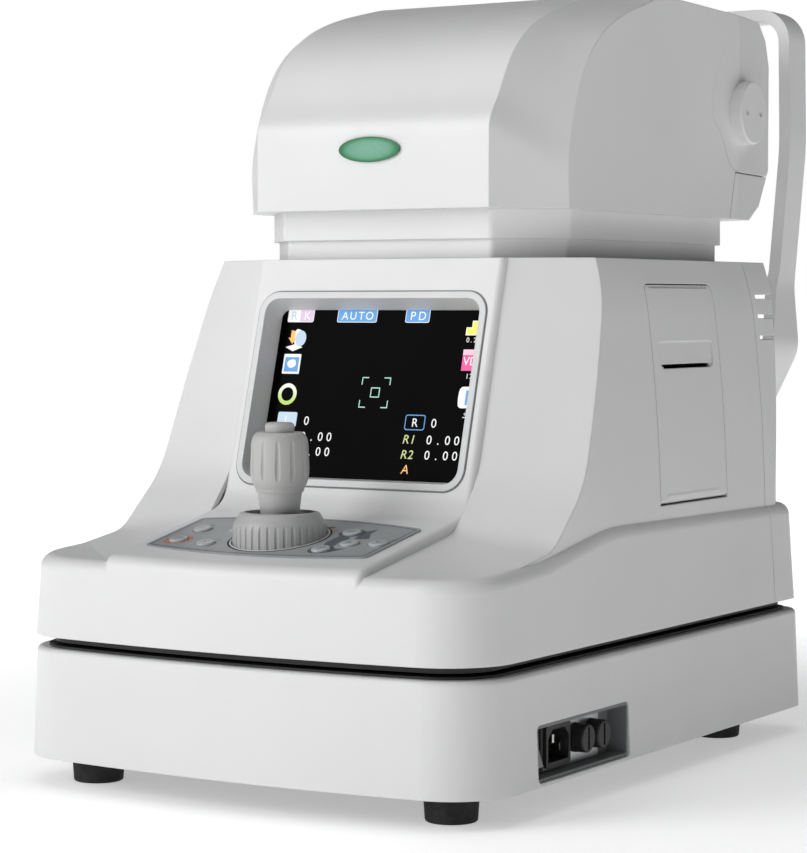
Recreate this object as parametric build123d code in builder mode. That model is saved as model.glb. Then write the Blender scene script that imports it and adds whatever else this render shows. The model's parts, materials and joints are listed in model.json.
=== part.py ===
from build123d import *

import os
from math import acos, cos, degrees, pi, radians, sin, tan

# A table-top auto refractor and keratometer. +Z is up, +Y runs from the operator to the patient
# and +X is the operator's right. The origin is on the table under the middle of the instrument.
# A depth is a distance behind the front of the base; behind() turns it into a Y position.

os.makedirs("parts", exist_ok=True)

# ---------------------------------------------------------------------------------------------
# Driving sizes
# ---------------------------------------------------------------------------------------------
wall = 3.0                      # moulded housings
seam = 0.3                      # half of the visible line between two covers
fit = 0.2                       # loose seat between fixed pieces
running = 0.05                  # radial clearance of a shaft in a bush
slack = 0.4                     # clearance between curved faces that slide past each other

base_width = 276.0
base_depth = 384.0
base_height = 54.8
base_draft = 2.4                # degrees
foot_height = 14.7
foot_radius = 13.5
foot_inset = 34.0               # foot centre to the side of the base
front_foot_depth = 39.0
rear_foot_inset = 52.0          # rear foot centre to the back of the base
front_bow = 10.6                # how far the front's corners lie behind its middle
front_corner = 36.0
rear_corner = 20.0

glide_gap = 6.2                 # dark slot between the base and the body
glide_thickness = 1.2
skirt_inset = 2.3               # body skirt inside the base, each side
skirt_height = 56.1
skirt_draft = 3.8               # degrees
skirt_rear_inset = 2.0
column_inset = 3.0              # column side inside the top of the skirt
column_rear_inset = 13.0
column_top = 264.8
crown_inset = 15.4              # how far the column's top lies inside its foot, each side
ribbon_half = 74.4              # raised middle panel that carries the screen and the keys
ribbon_step = 3.5
ribbon_rounding = 3.0           # along the ribbon's long edges
front_rounding = 7.0            # top edge of the skirt and the ribbon's front
screen_tilt = 15.4              # degrees from upright
panel_slope = 11.1              # degrees from level

travel_front = 22.0
travel_back = 18.0

collar_half = 91.5
collar_wall = 2.0
collar_step = 2.7
head_half = 97.0
head_bottom = 289.8
eye_height = 350.0
nose_back = 443.0

frame_gap = 2.0                 # face frame behind the nose's furthest travel
frame_depth = 24.0
frame_root_depth = 41.0         # the blade is deeper where it meets its post
frame_blade = 7.0
frame_top = 418.5
cup_overhang = 3.0

joystick_depth = 50.0
ring_radius = 23.3
ring_top_opening = 17.0
ring_ribs = 36
screen_width = 134.0
screen_height = 100.0

paper_width = 58.0
door_length = 80.5
door_bottom = 138.0
door_top = 251.5
door_gap = 0.6

gear_module = 1.25
pinion_teeth = 12
pressure_angle = 20.0           # degrees
shaft_radius = 5.0

# ---------------------------------------------------------------------------------------------
# Places that follow from the driving sizes
# ---------------------------------------------------------------------------------------------
base_half = base_width / 2
base_top = foot_height + base_height
glide_top = base_top + glide_thickness
skirt_bottom = base_top + glide_gap
skirt_half = base_half - skirt_inset
skirt_top = skirt_bottom + skirt_height
body_back = base_depth - skirt_rear_inset
column_half = skirt_half - skirt_height * tan(radians(skirt_draft)) - column_inset
column_back = base_depth - column_rear_inset
rear_seam = column_back - 31.0
frame_front = nose_back + travel_back + frame_gap
frame_back = frame_front + frame_depth
frame_root = frame_back - frame_root_depth
front = -(frame_back + cup_overhang) / 2
pinion_radius = gear_module * pinion_teeth / 2
shaft_depth = 230.0
shaft_height = 56.0
lift_depth = 255.0


def behind(depth):
    """Y of a place at this depth behind the front of the base."""
    return front + depth


def side_view(points):
    """Corners given as (depth, height), placed on the YZ plane."""
    return [(behind(depth), height) for depth, height in points]


def drawn_in(points, amount):
    """The corners of a closed outline, each moved inwards so that every side moves by amount."""
    ring = list(zip(points[-1:] + points[:-1], points, points[1:] + points[:1]))
    turning = sum(here[0] * after[1] - after[0] * here[1] for _, here, after in ring)
    inward = 1 if turning > 0 else -1
    moved = []
    for before, here, after in ring:
        arriving = (Vector(*here) - Vector(*before)).normalized()
        leaving = (Vector(*after) - Vector(*here)).normalized()
        first = Vector(-arriving.Y, arriving.X) * inward
        second = Vector(-leaving.Y, leaving.X) * inward
        shift = (first + second) * (amount / (1 + first.dot(second)))
        moved.append((here[0] + shift.X, here[1] + shift.Y))
    return moved


def rounded_outline(points, radii):
    """Close an outline; its second and following corners are rounded by the given radii."""
    last = len(radii) + 1
    with BuildLine() as edge:
        FilletPolyline(*points[: last + 1], radius=radii)
        Polyline(*points[last:], points[0])
    make_face(edge.edges())


def smooth_outline(points, first, last):
    """Close an outline whose corners from first to last lie on one smooth curve."""
    start = Vector(*points[first]) - Vector(*points[first - 1])
    end = Vector(*points[last + 1]) - Vector(*points[last])
    with BuildLine() as edge:
        Spline(*points[first : last + 1], tangents=[start.normalized(), end.normalized()])
        Polyline(*points[last:], *points[: first + 1])
    make_face(edge.edges())


def footprint(half, back, inset=0.0):
    """Plan of the base or the skirt: a bowed front, straight sides and rounded corners."""
    near = behind(inset)
    far = behind(back - inset)
    side = half - inset
    with BuildLine() as edge:
        ThreePointArc((-side, near + front_bow), (0, near), (side, near + front_bow))
        Polyline((side, near + front_bow), (side, far), (-side, far), (-side, near + front_bow))
    plan = make_face(edge.edges())
    plan = fillet(plan.vertices().group_by(Axis.Y)[0], front_corner - inset)
    fillet(plan.vertices().group_by(Axis.Y)[-1], rear_corner - inset)


def save(part, name):
    """Label one finished piece and write it under its node's name."""
    part.label = name
    export_step(part, f"parts/{name}.step")


# ---------------------------------------------------------------------------------------------
# Base: cover, bottom plate, feet
# ---------------------------------------------------------------------------------------------
port_front = 62.0               # power recess in the right side
port_back = 157.0
port_low = foot_height + 1.8
port_high = 44.0
port_wall = 1.5
port_floor = base_half - 12.0   # inner face of the silver plate's seat
port_face = port_floor + 1.5
port_middle = (port_low + port_high) / 2
hatch_half = 96.0               # opening in the base's top for the body's bushes
hatch_margin = 14.0
hatch_front = shaft_depth - travel_front - hatch_margin
hatch_back = shaft_depth + travel_back + hatch_margin
post_half = 38.0                # foot of the headrest post
post_window_low = 21.0
post_window_high = 60.0
plate_thickness = 2.0
plate_top = foot_height + plate_thickness
screw_radius = 2.0
screw_hole = screw_radius + fit
foot_places = [
    (side * (base_half - foot_inset), depth)
    for side in (-1, 1)
    for depth in (front_foot_depth, base_depth - rear_foot_inset)
]
foot_centres = [(x, behind(depth)) for x, depth in foot_places]

with BuildPart() as base_cover:
    with BuildSketch(Plane.XY.offset(foot_height)):
        footprint(base_half, base_depth)
    extrude(amount=base_height, taper=base_draft)
    fillet(base_cover.edges().group_by(Axis.Z)[-1], 2.5)
    with BuildSketch(Plane.XY.offset(foot_height)):
        footprint(base_half, base_depth, wall)
    extrude(amount=base_height - wall, taper=base_draft, mode=Mode.SUBTRACT)
    with BuildSketch(Plane.XY.offset(base_top)):
        with Locations((0, behind((hatch_front + hatch_back) / 2))):
            RectangleRounded(2 * hatch_half, hatch_back - hatch_front, 4)
    extrude(amount=-2 * wall, mode=Mode.SUBTRACT)
    with BuildSketch(Plane.YZ.offset(base_half + 1)):
        with Locations((behind((port_front + port_back) / 2), port_middle)):
            RectangleRounded(port_back - port_front, port_high - port_low, 3)
    extrude(amount=-3 * wall, mode=Mode.SUBTRACT)
    with BuildSketch(Plane.XZ.offset(-behind(base_depth + 1))):
        with Locations((0, (post_window_low + post_window_high) / 2)):
            Rectangle(2 * (post_half + fit), post_window_high - post_window_low)
    extrude(amount=4 * wall, mode=Mode.SUBTRACT)
save(base_cover.part, "base_cover")

with BuildPart() as base_plate:
    with BuildSketch(Plane.XY.offset(foot_height)):
        footprint(base_half, base_depth, wall + fit)
    extrude(amount=plate_thickness)
    with BuildSketch(Plane.XY.offset(foot_height)):
        with Locations((base_half, behind((port_front + port_back) / 2))):
            Rectangle(2 * (base_half - port_floor + 2), port_back - port_front + 10)
    extrude(amount=plate_thickness, mode=Mode.SUBTRACT)
    with BuildSketch(Plane.XY.offset(foot_height)):
        with Locations(*foot_centres):
            Circle(screw_hole)
    extrude(amount=plate_thickness, mode=Mode.SUBTRACT)
save(base_plate.part, "base_plate")

foot_recess = 8.0
with BuildPart() as feet:
    with BuildSketch():
        with Locations(*foot_centres):
            Circle(foot_radius - 1)
    extrude(amount=foot_height, taper=-4)
    fillet(feet.edges().group_by(Axis.Z)[0], 1.2)
    with BuildSketch():
        with Locations(*foot_centres):
            Circle(4.5)
    extrude(amount=foot_recess, mode=Mode.SUBTRACT)
    with BuildSketch():
        with Locations(*foot_centres):
            Circle(screw_hole)
    extrude(amount=foot_height, mode=Mode.SUBTRACT)
save(feet.part, "feet")

screw_head = 2.6
with BuildPart() as foot_screws:
    with BuildSketch(Plane.XY.offset(foot_recess - screw_head)):
        with Locations(*foot_centres):
            Circle(3.8)
    extrude(amount=screw_head)
    with BuildSketch(Plane.XY.offset(foot_recess)):
        with Locations(*foot_centres):
            Circle(screw_radius)
    extrude(amount=foot_height - foot_recess + 5)
save(foot_screws.part, "foot_screws")

with BuildPart() as glide_plate:
    with BuildSketch(Plane.XY.offset(base_top)):
        footprint(base_half - skirt_inset, base_depth - skirt_rear_inset, 6)
    extrude(amount=glide_thickness)
    with BuildSketch(Plane.XY.offset(base_top)):
        with Locations((0, behind((hatch_front + hatch_back) / 2))):
            RectangleRounded(2 * hatch_half, hatch_back - hatch_front, 4)
    extrude(amount=glide_thickness, mode=Mode.SUBTRACT)
save(glide_plate.part, "glide_plate")

# ---------------------------------------------------------------------------------------------
# Toothed rails in the base, and the axle whose pinions keep both ends of the carriage level
# ---------------------------------------------------------------------------------------------
rail_offset = base_half - 28.0
rail_width = 10.0
rail_half_length = 48.0
tooth_pitch = pi * gear_module
rack_line = shaft_height - pinion_radius
rack_tip = 0.68 * gear_module   # short tips clear the undersized pinion's roots
tooth_root = 1.25 * gear_module
backlash = 0.2
flank = tan(radians(pressure_angle))
rack_teeth = 22
with BuildPart() as toothed_rails:
    with BuildSketch(Plane.YZ.offset(rail_offset - rail_width / 2)):
        with Locations((behind(shaft_depth), (plate_top + rack_line - tooth_root) / 2)):
            Rectangle(2 * rail_half_length, rack_line - tooth_root - plate_top)
        for step in range(rack_teeth):
            middle = behind(shaft_depth) + (step + 0.5 - rack_teeth / 2) * tooth_pitch
            half = tooth_pitch / 4 - backlash / 2
            foot_half = half + tooth_root * flank
            tip_half = half - rack_tip * flank
            with BuildLine():
                Polyline(
                    (middle - foot_half, rack_line - tooth_root),
                    (middle - tip_half, rack_line + rack_tip),
                    (middle + tip_half, rack_line + rack_tip),
                    (middle + foot_half, rack_line - tooth_root),
                    close=True,
                )
            make_face()
    extrude(amount=rail_width)
    mirror(about=Plane.YZ)
save(toothed_rails.part, "toothed_rails")


def involute(angle):
    """The involute function of an angle in radians."""
    return tan(angle) - angle


def tooth_flank(radius):
    """Half the angle that a pinion tooth fills at this radius."""
    base_circle = pinion_radius * cos(radians(pressure_angle))
    at_pitch = pi / (2 * pinion_teeth) - backlash / (2 * pinion_radius)
    opening = involute(acos(min(1.0, base_circle / radius)))
    return at_pitch + involute(radians(pressure_angle)) - opening


root_radius = pinion_radius - tooth_root
tip_radius = pinion_radius + gear_module
flank_radii = [
    root_radius - 0.3, pinion_radius * 0.94, pinion_radius, (pinion_radius + tip_radius) / 2, tip_radius,
]
with BuildPart() as pinion_shaft:
    with BuildSketch(Plane.YZ.offset(rail_offset - rail_width / 2 + 1)):
        with Locations((behind(shaft_depth), shaft_height)):
            Circle(root_radius)
        for index in range(pinion_teeth):
            aim = -pi / 2 + index * 2 * pi / pinion_teeth
            rising = [(r, aim - tooth_flank(r)) for r in flank_radii]
            falling = [(r, aim + tooth_flank(r)) for r in reversed(flank_radii)]
            with BuildLine():
                Polyline(
                    *[
                        (behind(shaft_depth) + r * cos(a), shaft_height + r * sin(a))
                        for r, a in rising + falling
                    ],
                    close=True,
                )
            make_face()
    extrude(amount=rail_width - 2)
    mirror(about=Plane.YZ)
    with BuildSketch(Plane.YZ):
        with Locations((behind(shaft_depth), shaft_height)):
            Circle(shaft_radius)
    extrude(amount=rail_offset + rail_width, both=True)
save(pinion_shaft.part, "pinion_shaft")

# The carriage frame holds the shaft's ends beside the rails and slides along them.
ear_thickness = 5.0
ear_inner = rail_offset - rail_width / 2 - slack - ear_thickness
yoke_gap = 12.0
with BuildPart() as carriage_frame:
    with BuildSketch(Plane.YZ.offset(ear_inner)):
        with Locations((behind(shaft_depth), shaft_height)):
            Circle(9)
        with Locations((behind(shaft_depth + yoke_gap / 2), shaft_height)):
            Rectangle(yoke_gap, 10)
        with Locations((behind(shaft_depth), shaft_height)):
            Circle(shaft_radius + running, mode=Mode.SUBTRACT)
    extrude(amount=ear_thickness)
    mirror(about=Plane.YZ)
    with BuildSketch(Plane.YZ):
        with Locations((behind(shaft_depth + yoke_gap + 1.5), shaft_height)):
            Rectangle(3, 10)
    extrude(amount=ear_inner + ear_thickness, both=True)
save(carriage_frame.part, "carriage_frame")

# ---------------------------------------------------------------------------------------------
# Power recess: grey tray, silver plate, inlet, switch and two fuse holders
# ---------------------------------------------------------------------------------------------
plate_back = 140.0
switch_depth = 72.6
switch_width = 17.0
switch_height = 23.4
inlet_depth = 94.3
inlet_width = 24.6
inlet_height = 20.6
fuse_depths = (117.5, 135.5 - 1.5)
fuse_cap_radius = 7.2
fuse_body_radius = 5.8
port_centre = 30.5
port_middle_depth = (port_front + port_back) / 2
fuse_centres = [(behind(depth), port_centre) for depth in fuse_depths]

with BuildPart() as power_tray:
    with BuildSketch(Plane.YZ.offset(port_floor - port_wall)):
        with Locations((behind(port_middle_depth), port_middle)):
            RectangleRounded(port_back - port_front - 2 * fit, port_high - port_low - 2 * fit, 3 - fit)
    extrude(amount=base_half - 1.6 - port_floor + port_wall)
    with BuildSketch(Plane.YZ.offset(port_floor)):
        with Locations((behind(port_middle_depth), port_middle)):
            RectangleRounded(
                port_back - port_front - 2 * (fit + port_wall),
                port_high - port_low - 2 * (fit + port_wall),
                1.3,
            )
    extrude(amount=base_half - port_floor, mode=Mode.SUBTRACT)
    with BuildSketch(Plane.YZ.offset(port_floor)):
        with Locations((behind(switch_depth), port_centre)):
            Rectangle(switch_width - 3, switch_height - 2)
        with Locations((behind(inlet_depth), port_centre)):
            Rectangle(inlet_width - 1, inlet_height - 1)
        with Locations(*fuse_centres):
            Circle(fuse_body_radius + fit)
    extrude(amount=-port_wall, mode=Mode.SUBTRACT)
save(power_tray.part, "power_tray")

with BuildPart() as power_plate:
    plate_front = port_front + fit + port_wall
    with BuildSketch(Plane.YZ.offset(port_floor)):
        with Locations((behind((plate_front + plate_back + 2) / 2), port_middle)):
            RectangleRounded(plate_back + 2 - plate_front, port_high - port_low - 2 * (fit + port_wall), 1.4)
        with Locations((behind(switch_depth), port_centre)):
            Rectangle(switch_width - 3, switch_height - 2, mode=Mode.SUBTRACT)
        with Locations((behind(inlet_depth), port_centre)):
            Rectangle(inlet_width - 1, inlet_height - 1, mode=Mode.SUBTRACT)
        with Locations(*fuse_centres):
            Circle(fuse_body_radius + fit, mode=Mode.SUBTRACT)
    extrude(amount=port_face - port_floor)
save(power_plate.part, "power_plate")

rocker_half_height = 8.6
rocker_width = 11.4
rocker_low_face = 2.0
rocker_high_face = 5.0
rocker_pivot = port_face - 1.0
rocker_pin_radius = 1.2
rocker_pin_reach = 1.1          # past each side of the rocker
with BuildPart() as switch_frame:
    with BuildSketch(Plane.YZ.offset(port_face)):
        with Locations((behind(switch_depth), port_centre)):
            RectangleRounded(switch_width, switch_height, 1.5)
    extrude(amount=2.2)
    with BuildSketch(Plane.YZ.offset(port_face)):
        with Locations((behind(switch_depth), port_centre)):
            Rectangle(switch_width - 3 - 2 * fit, switch_height - 2 - 2 * fit)
    extrude(amount=-17)
    with BuildSketch(Plane.YZ.offset(port_face + 2.2)):
        with Locations((behind(switch_depth), port_centre)):
            Rectangle(rocker_width + 1, 2 * rocker_half_height + 3)
    extrude(amount=-14, mode=Mode.SUBTRACT)
    with BuildSketch(Plane.XZ.offset(-behind(switch_depth))):
        with Locations((rocker_pivot, port_centre)):
            Circle(rocker_pin_radius + running)
    extrude(amount=rocker_width / 2 + rocker_pin_reach + fit, both=True, mode=Mode.SUBTRACT)
save(switch_frame.part, "switch_frame")

with BuildPart() as power_rocker:
    with BuildSketch(Plane.XZ.offset(-behind(switch_depth))):
        with BuildLine():
            Polyline(
                (rocker_pivot - 6.5, port_centre - 6),
                (rocker_pivot + rocker_high_face, port_centre - rocker_half_height),
                (rocker_pivot + 2.4, port_centre),
                (rocker_pivot + rocker_low_face, port_centre + rocker_half_height),
                (rocker_pivot - 6.5, port_centre + 6),
                close=True,
            )
        make_face()
    extrude(amount=rocker_width / 2, both=True)
    with BuildSketch(Plane.XZ.offset(-behind(switch_depth))):
        with Locations((rocker_pivot, port_centre)):
            Circle(rocker_pin_radius)
    extrude(amount=rocker_width / 2 + rocker_pin_reach, both=True)
save(power_rocker.part, "power_rocker")

socket_floor = port_face - 11.0
with BuildPart() as inlet_block:
    with BuildSketch(Plane.YZ.offset(port_face)):
        with Locations((behind(inlet_depth), port_centre)):
            RectangleRounded(inlet_width, inlet_height, 2)
    extrude(amount=3.5)
    with BuildSketch(Plane.YZ.offset(port_face)):
        with Locations((behind(inlet_depth), port_centre)):
            Rectangle(inlet_width - 1 - 2 * fit, inlet_height - 1 - 2 * fit)
    extrude(amount=-14)
    with BuildSketch(Plane.YZ.offset(port_face + 3.5)):
        with Locations((behind(inlet_depth), port_centre)):
            socket_outline = Rectangle(inlet_width - 4, inlet_height - 5)
        chamfer(socket_outline.vertices().group_by(Axis.Y)[-1], 4)
    extrude(amount=socket_floor - port_face - 3.5, mode=Mode.SUBTRACT)
    with BuildSketch(Plane.YZ.offset(port_face)):
        with Locations(*fuse_centres):
            Circle(fuse_cap_radius)
    extrude(amount=1.6)
    with BuildSketch(Plane.YZ.offset(port_face)):
        with Locations(*fuse_centres):
            Circle(fuse_body_radius)
    extrude(amount=-24)
    with BuildSketch(Plane.YZ.offset(port_face + 1.6)):
        with Locations(*fuse_centres):
            Circle(fuse_body_radius - 1.8)
    extrude(amount=-22, mode=Mode.SUBTRACT)
save(inlet_block.part, "inlet_block")

with BuildPart() as inlet_pins:
    with BuildSketch(Plane.YZ.offset(socket_floor)):
        with Locations(
            (behind(inlet_depth - 7), port_centre - 2),
            (behind(inlet_depth + 7), port_centre - 2),
            (behind(inlet_depth), port_centre + 2.5),
        ):
            Rectangle(2, 4)
    extrude(amount=11.5)
save(inlet_pins.part, "inlet_pins")

for centre, name in zip(fuse_centres, ("fuse_cap_front", "fuse_cap_rear")):
    with BuildPart() as fuse_cap:
        with BuildSketch(Plane.YZ.offset(port_face + 1.9)):
            with Locations(centre):
                Circle(fuse_cap_radius - 0.2)
        extrude(amount=6)
        fillet(fuse_cap.edges().group_by(Axis.X)[-1], 1)
        with BuildSketch(Plane.YZ.offset(port_face + 1.9 + 6)):
            with Locations(centre):
                Rectangle(1.8, 11)
        extrude(amount=-2, mode=Mode.SUBTRACT)
        with BuildSketch(Plane.YZ.offset(port_face + 1.9)):
            with Locations(centre):
                Circle(fuse_body_radius - 1.8 - slack)
        extrude(amount=-16)
    save(fuse_cap.part, name)

with BuildPart() as power_supply:
    with BuildSketch(Plane.XY.offset(plate_top)):
        with Locations((0, behind(hatch_back + 45))):
            RectangleRounded(120, 62, 3)
    extrude(amount=36)
save(power_supply.part, "power_supply")

# ---------------------------------------------------------------------------------------------
# Body: one outer form for the skirt and the column, hollowed by the same form drawn in
# ---------------------------------------------------------------------------------------------
panel_rise = tan(radians(panel_slope))
screen_run = 1 / tan(radians(screen_tilt))
panel_front_height = 122.0      # panel height at the depth where its flat part starts
panel_front_depth = 27.0
ribbon_top_depth = 141.0
bend_radius = 18.0


def panel_height(depth):
    """Height of the sloping key panel at this depth."""
    return panel_front_height + (depth - panel_front_depth) * panel_rise


def screen_depth(height):
    """Depth of the tilted screen panel at this height."""
    return ribbon_top_depth - (column_top - height) / screen_run


# The key panel and the screen panel meet here before their corner is rounded.
bend_height = (
    panel_height(ribbon_top_depth) - (column_top * panel_rise / screen_run)
) / (1 - panel_rise / screen_run)
bend_depth = screen_depth(bend_height)


def slab(low_depth, high_depth):
    """A block across the whole body between two depths, for dividing covers."""
    with BuildPart() as block:
        with BuildSketch(Plane.XY):
            with Locations((0, behind((low_depth + high_depth) / 2))):
                Rectangle(2 * base_width, high_depth - low_depth)
        extrude(amount=600)
    return block.part


def drafted_block(inset):
    """The skirt's drafted sides and bowed front, higher than its top."""
    low = skirt_bottom - inset
    with BuildPart() as form:
        with BuildSketch(Plane.XY.offset(low)):
            footprint(skirt_half, body_back, inset)
        extrude(amount=skirt_top + 10 - low, taper=skirt_draft)
    return form.part


def skirt_form(inset, rounded=False):
    """The wide lower part of the body, as a solid."""
    low = skirt_bottom - inset
    crest = [
        (-20, low), (-20, 113.2), (78, 119.6), (150, skirt_top), (body_back + 20, 129.4),
        (body_back + 20, low),
    ]
    with BuildPart() as form:
        add(drafted_block(inset))
        with BuildSketch(Plane.YZ):
            rounded_outline(side_view(drawn_in(crest, inset)), [1, 120, 160])
        extrude(amount=base_half, both=True, mode=Mode.INTERSECT)
        if rounded:
            fillet(form.edges().filter_by_position(Axis.Z, 110, skirt_top + 1), front_rounding)
    return form.part


def ribbon_form(inset):
    """The raised middle panel that carries the keys and the screen, as a solid."""
    low = 104.0 - inset
    ribbon = [
        (-20, low), (-20, panel_height(-20)), (bend_depth, bend_height), (ribbon_top_depth, column_top),
        (column_back, column_top), (column_back, low),
    ]
    with BuildPart() as form:
        add(drafted_block(inset))
        add(slab(40, column_back))
        with BuildSketch(Plane.YZ):
            rounded_outline(side_view(drawn_in(ribbon, inset)), [1, bend_radius + inset])
        extrude(amount=ribbon_half - inset, both=True, mode=Mode.INTERSECT)
    return form.part


def column_form(inset, rounded=False):
    """The column with its ribbon and flared shoulders, as a solid."""
    low = 104.0 - inset
    top = column_top
    near_flare = [
        (8, low), (8, panel_height(8) - ribbon_step), (92, 130), (114, 154.5),
        (ribbon_top_depth + ribbon_step, top), (column_back, top), (column_back, low),
    ]
    far_flare = [
        (40, low), (40, 115), (92, 123), (125, 152), (ribbon_top_depth + 31.5, top),
        (column_back, top), (column_back, low),
    ]
    with BuildPart() as form:
        add(ribbon_form(inset))
        if rounded:
            fillet(form.edges().sort_by_distance((0, behind(0), panel_height(0)))[0], front_rounding)
            long_edges = form.faces().filter_by(Axis.X).edges()
            long_edges = long_edges.filter_by_position(Axis.Y, behind(0), behind(ribbon_top_depth - 1))
            fillet(long_edges.filter_by_position(Axis.Z, panel_height(0) - 2, top - 1), ribbon_rounding)
        with BuildSketch(Plane.YZ.offset(ribbon_half - inset)):
            rounded_outline(side_view(drawn_in(near_flare, inset)), [1, 22 + inset, 40 + inset])
        with BuildSketch(Plane.YZ.offset(column_half)):
            rounded_outline(side_view(drawn_in(far_flare, inset)), [1, 26 + inset, 60 + inset])
        loft(ruled=True)
        mirror(about=Plane.YZ)
        half = column_half - inset
        crown = top - inset
        with BuildSketch(Plane.XZ):
            with BuildLine():
                Polyline((-half, 135), (-half, low), (half, low), (half, 135))
                ThreePointArc((half, 135), (half - 2.6, 185), (half - 7.6, 235))
                ThreePointArc((half - 7.6, 235), (half - 11, 252), (half - crown_inset, crown))
                Line((half - crown_inset, crown), (crown_inset - half, crown))
                ThreePointArc((crown_inset - half, crown), (11 - half, 252), (7.6 - half, 235))
                ThreePointArc((7.6 - half, 235), (2.6 - half, 185), (-half, 135))
            make_face()
        extrude(amount=400, both=True, mode=Mode.INTERSECT)
        with BuildSketch(Plane.XY):
            with Locations((0, behind(column_back - inset - 200))):
                plan = Rectangle(2 * half, 400)
            fillet(plan.vertices().group_by(Axis.Y)[-1], rear_corner - inset)
        extrude(amount=400, mode=Mode.INTERSECT)
    return form.part


screen_middle_height = 198.0
screen_plane = Plane(
    origin=(0, behind(screen_depth(screen_middle_height)), screen_middle_height),
    x_dir=(1, 0, 0),
    z_dir=(0, -cos(radians(screen_tilt)), sin(radians(screen_tilt))),
)
panel_plane = Plane(
    origin=(0, behind(joystick_depth), panel_height(joystick_depth)),
    x_dir=(1, 0, 0),
    z_dir=(0, -sin(radians(panel_slope)), cos(radians(panel_slope))),
)
# Keys on the panel: how far right of the middle, and how far back along the slope.
key_places = {
    "mode_key": (-51.0, 6.6),
    "print_key": (-52.0, -12.8),
    "clear_key": (-33.0, -16.6),
    "menu_key": (33.5, 13.7),
    "chin_up_key": (43.3, -4.6),
    "chin_down_key": (58.1, -2.0),
    "target_key": (34.4, -16.1),
}
key_radius = 4.8
key_hole = key_radius + slack
ring_hole = ring_radius + 1.7
overlay_thickness = 0.8
door_middle = 249.75
door_thickness = 2.6
hinge_radius = 1.5
hinge_height = door_bottom + 3.8
hinge_side = column_half - 3.4
slot_height = 209.0
slot_recess = 13.0              # shallow field above the paper slot
finger_groove = 1.6             # along the door's top edge
hollow_depth = 0.9
mast_half = 80.0                # opening in the column's top for the head's lift

with BuildPart() as body_form:
    add(skirt_form(0, rounded=True))
    add(column_form(0, rounded=True))
    add(skirt_form(wall), mode=Mode.SUBTRACT)
    add(column_form(wall), mode=Mode.SUBTRACT)

with BuildPart() as body_shell:
    add(body_form.part)
    add(slab(rear_seam - seam, base_depth + 100), mode=Mode.SUBTRACT)
    with BuildSketch(screen_plane.offset(5)):
        RectangleRounded(screen_width, screen_height, 10)
    extrude(amount=-14, mode=Mode.SUBTRACT)
    with BuildSketch(Plane.XY.offset(100)):
        with Locations((0, behind(joystick_depth))):
            Circle(ring_hole)
    extrude(amount=60, mode=Mode.SUBTRACT)
    with BuildSketch(panel_plane.offset(5)):
        with Locations(*key_places.values()):
            Circle(key_hole)
    extrude(amount=-14, mode=Mode.SUBTRACT)
    with BuildSketch(Plane.XY.offset(column_top + 1)):
        with Locations((0, behind(lift_depth))):
            RectangleRounded(2 * mast_half, 150, 10)
    extrude(amount=-2 * wall, mode=Mode.SUBTRACT)
    with BuildSketch(Plane.YZ.offset(column_half - 40)):
        with Locations((behind(door_middle), (door_bottom + door_top) / 2)):
            RectangleRounded(door_length + 2 * door_gap, door_top - door_bottom + 2 * door_gap, 4 + door_gap)
        with Locations((behind(door_middle), door_bottom + 5)):
            Rectangle(door_length + 2 * door_gap, 10 + 2 * door_gap)
    extrude(amount=60, mode=Mode.SUBTRACT)
    with BuildSketch(Plane.XZ.offset(-behind(door_middle))):
        with Locations((hinge_side, hinge_height)):
            Circle(hinge_radius)
    extrude(amount=door_length / 2 + 5, both=True, mode=Mode.SUBTRACT)
save(body_shell.part, "body_shell")

louvre_heights = (245.6, 234.5, 222.7)
louvre_gap = 2.3
lip_length = 8.0
lip_thickness = 1.4

with BuildPart() as rear_lip:
    add(skirt_form(wall + fit))
    add(column_form(wall + fit))
    add(slab(rear_seam - lip_length, rear_seam + seam + 3), mode=Mode.INTERSECT)

with BuildPart() as lip_root:
    add(skirt_form(wall / 2))
    add(column_form(wall / 2))
    add(slab(rear_seam + seam, rear_seam + seam + 3), mode=Mode.INTERSECT)

with BuildPart() as lip_ring:
    add(rear_lip.part)
    add(lip_root.part)
    add(skirt_form(wall + fit + lip_thickness), mode=Mode.SUBTRACT)
    add(column_form(wall + fit + lip_thickness), mode=Mode.SUBTRACT)
    with BuildSketch(Plane.XY):
        with Locations((0, behind(rear_seam))):
            Rectangle(2 * base_width, 60)
    extrude(amount=skirt_bottom + 6, mode=Mode.SUBTRACT)
    with BuildSketch(Plane.XY.offset(column_top - wall - 8)):
        with Locations((0, behind(lift_depth))):
            RectangleRounded(2 * mast_half, 150, 10)
    extrude(amount=20, mode=Mode.SUBTRACT)

with BuildPart() as rear_cover:
    add(body_form.part)
    add(slab(-100, rear_seam + seam), mode=Mode.SUBTRACT)
    add(lip_ring.part)
    with BuildSketch(Plane.XZ.offset(-behind(column_back + 5))):
        for height in louvre_heights:
            with Locations((column_half - 20, height), (20 - column_half, height)):
                Rectangle(44, louvre_gap)
    extrude(amount=30, mode=Mode.SUBTRACT)
save(rear_cover.part, "rear_cover")

# The printer door is a piece of the column's own side, hinged along its lower edge.
with BuildPart() as door_block:
    with BuildSketch(Plane.YZ.offset(column_half - 40)):
        with Locations((behind(door_middle), (door_bottom + door_top) / 2)):
            RectangleRounded(door_length, door_top - door_bottom, 4)
        with Locations((behind(door_middle), door_bottom + 5)):
            Rectangle(door_length, 10)
    extrude(amount=60)

with BuildPart() as door_hollows:
    with BuildSketch(Plane.YZ.offset(column_half - 40)):
        with Locations((behind(door_middle), slot_height + slot_recess / 2)):
            RectangleRounded(paper_width + 6, slot_recess, 2)
        with Locations((behind(door_middle), door_top)):
            Rectangle(door_length - 10, 2 * finger_groove)
    extrude(amount=60)
    add(column_form(hollow_depth), mode=Mode.SUBTRACT)

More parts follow.
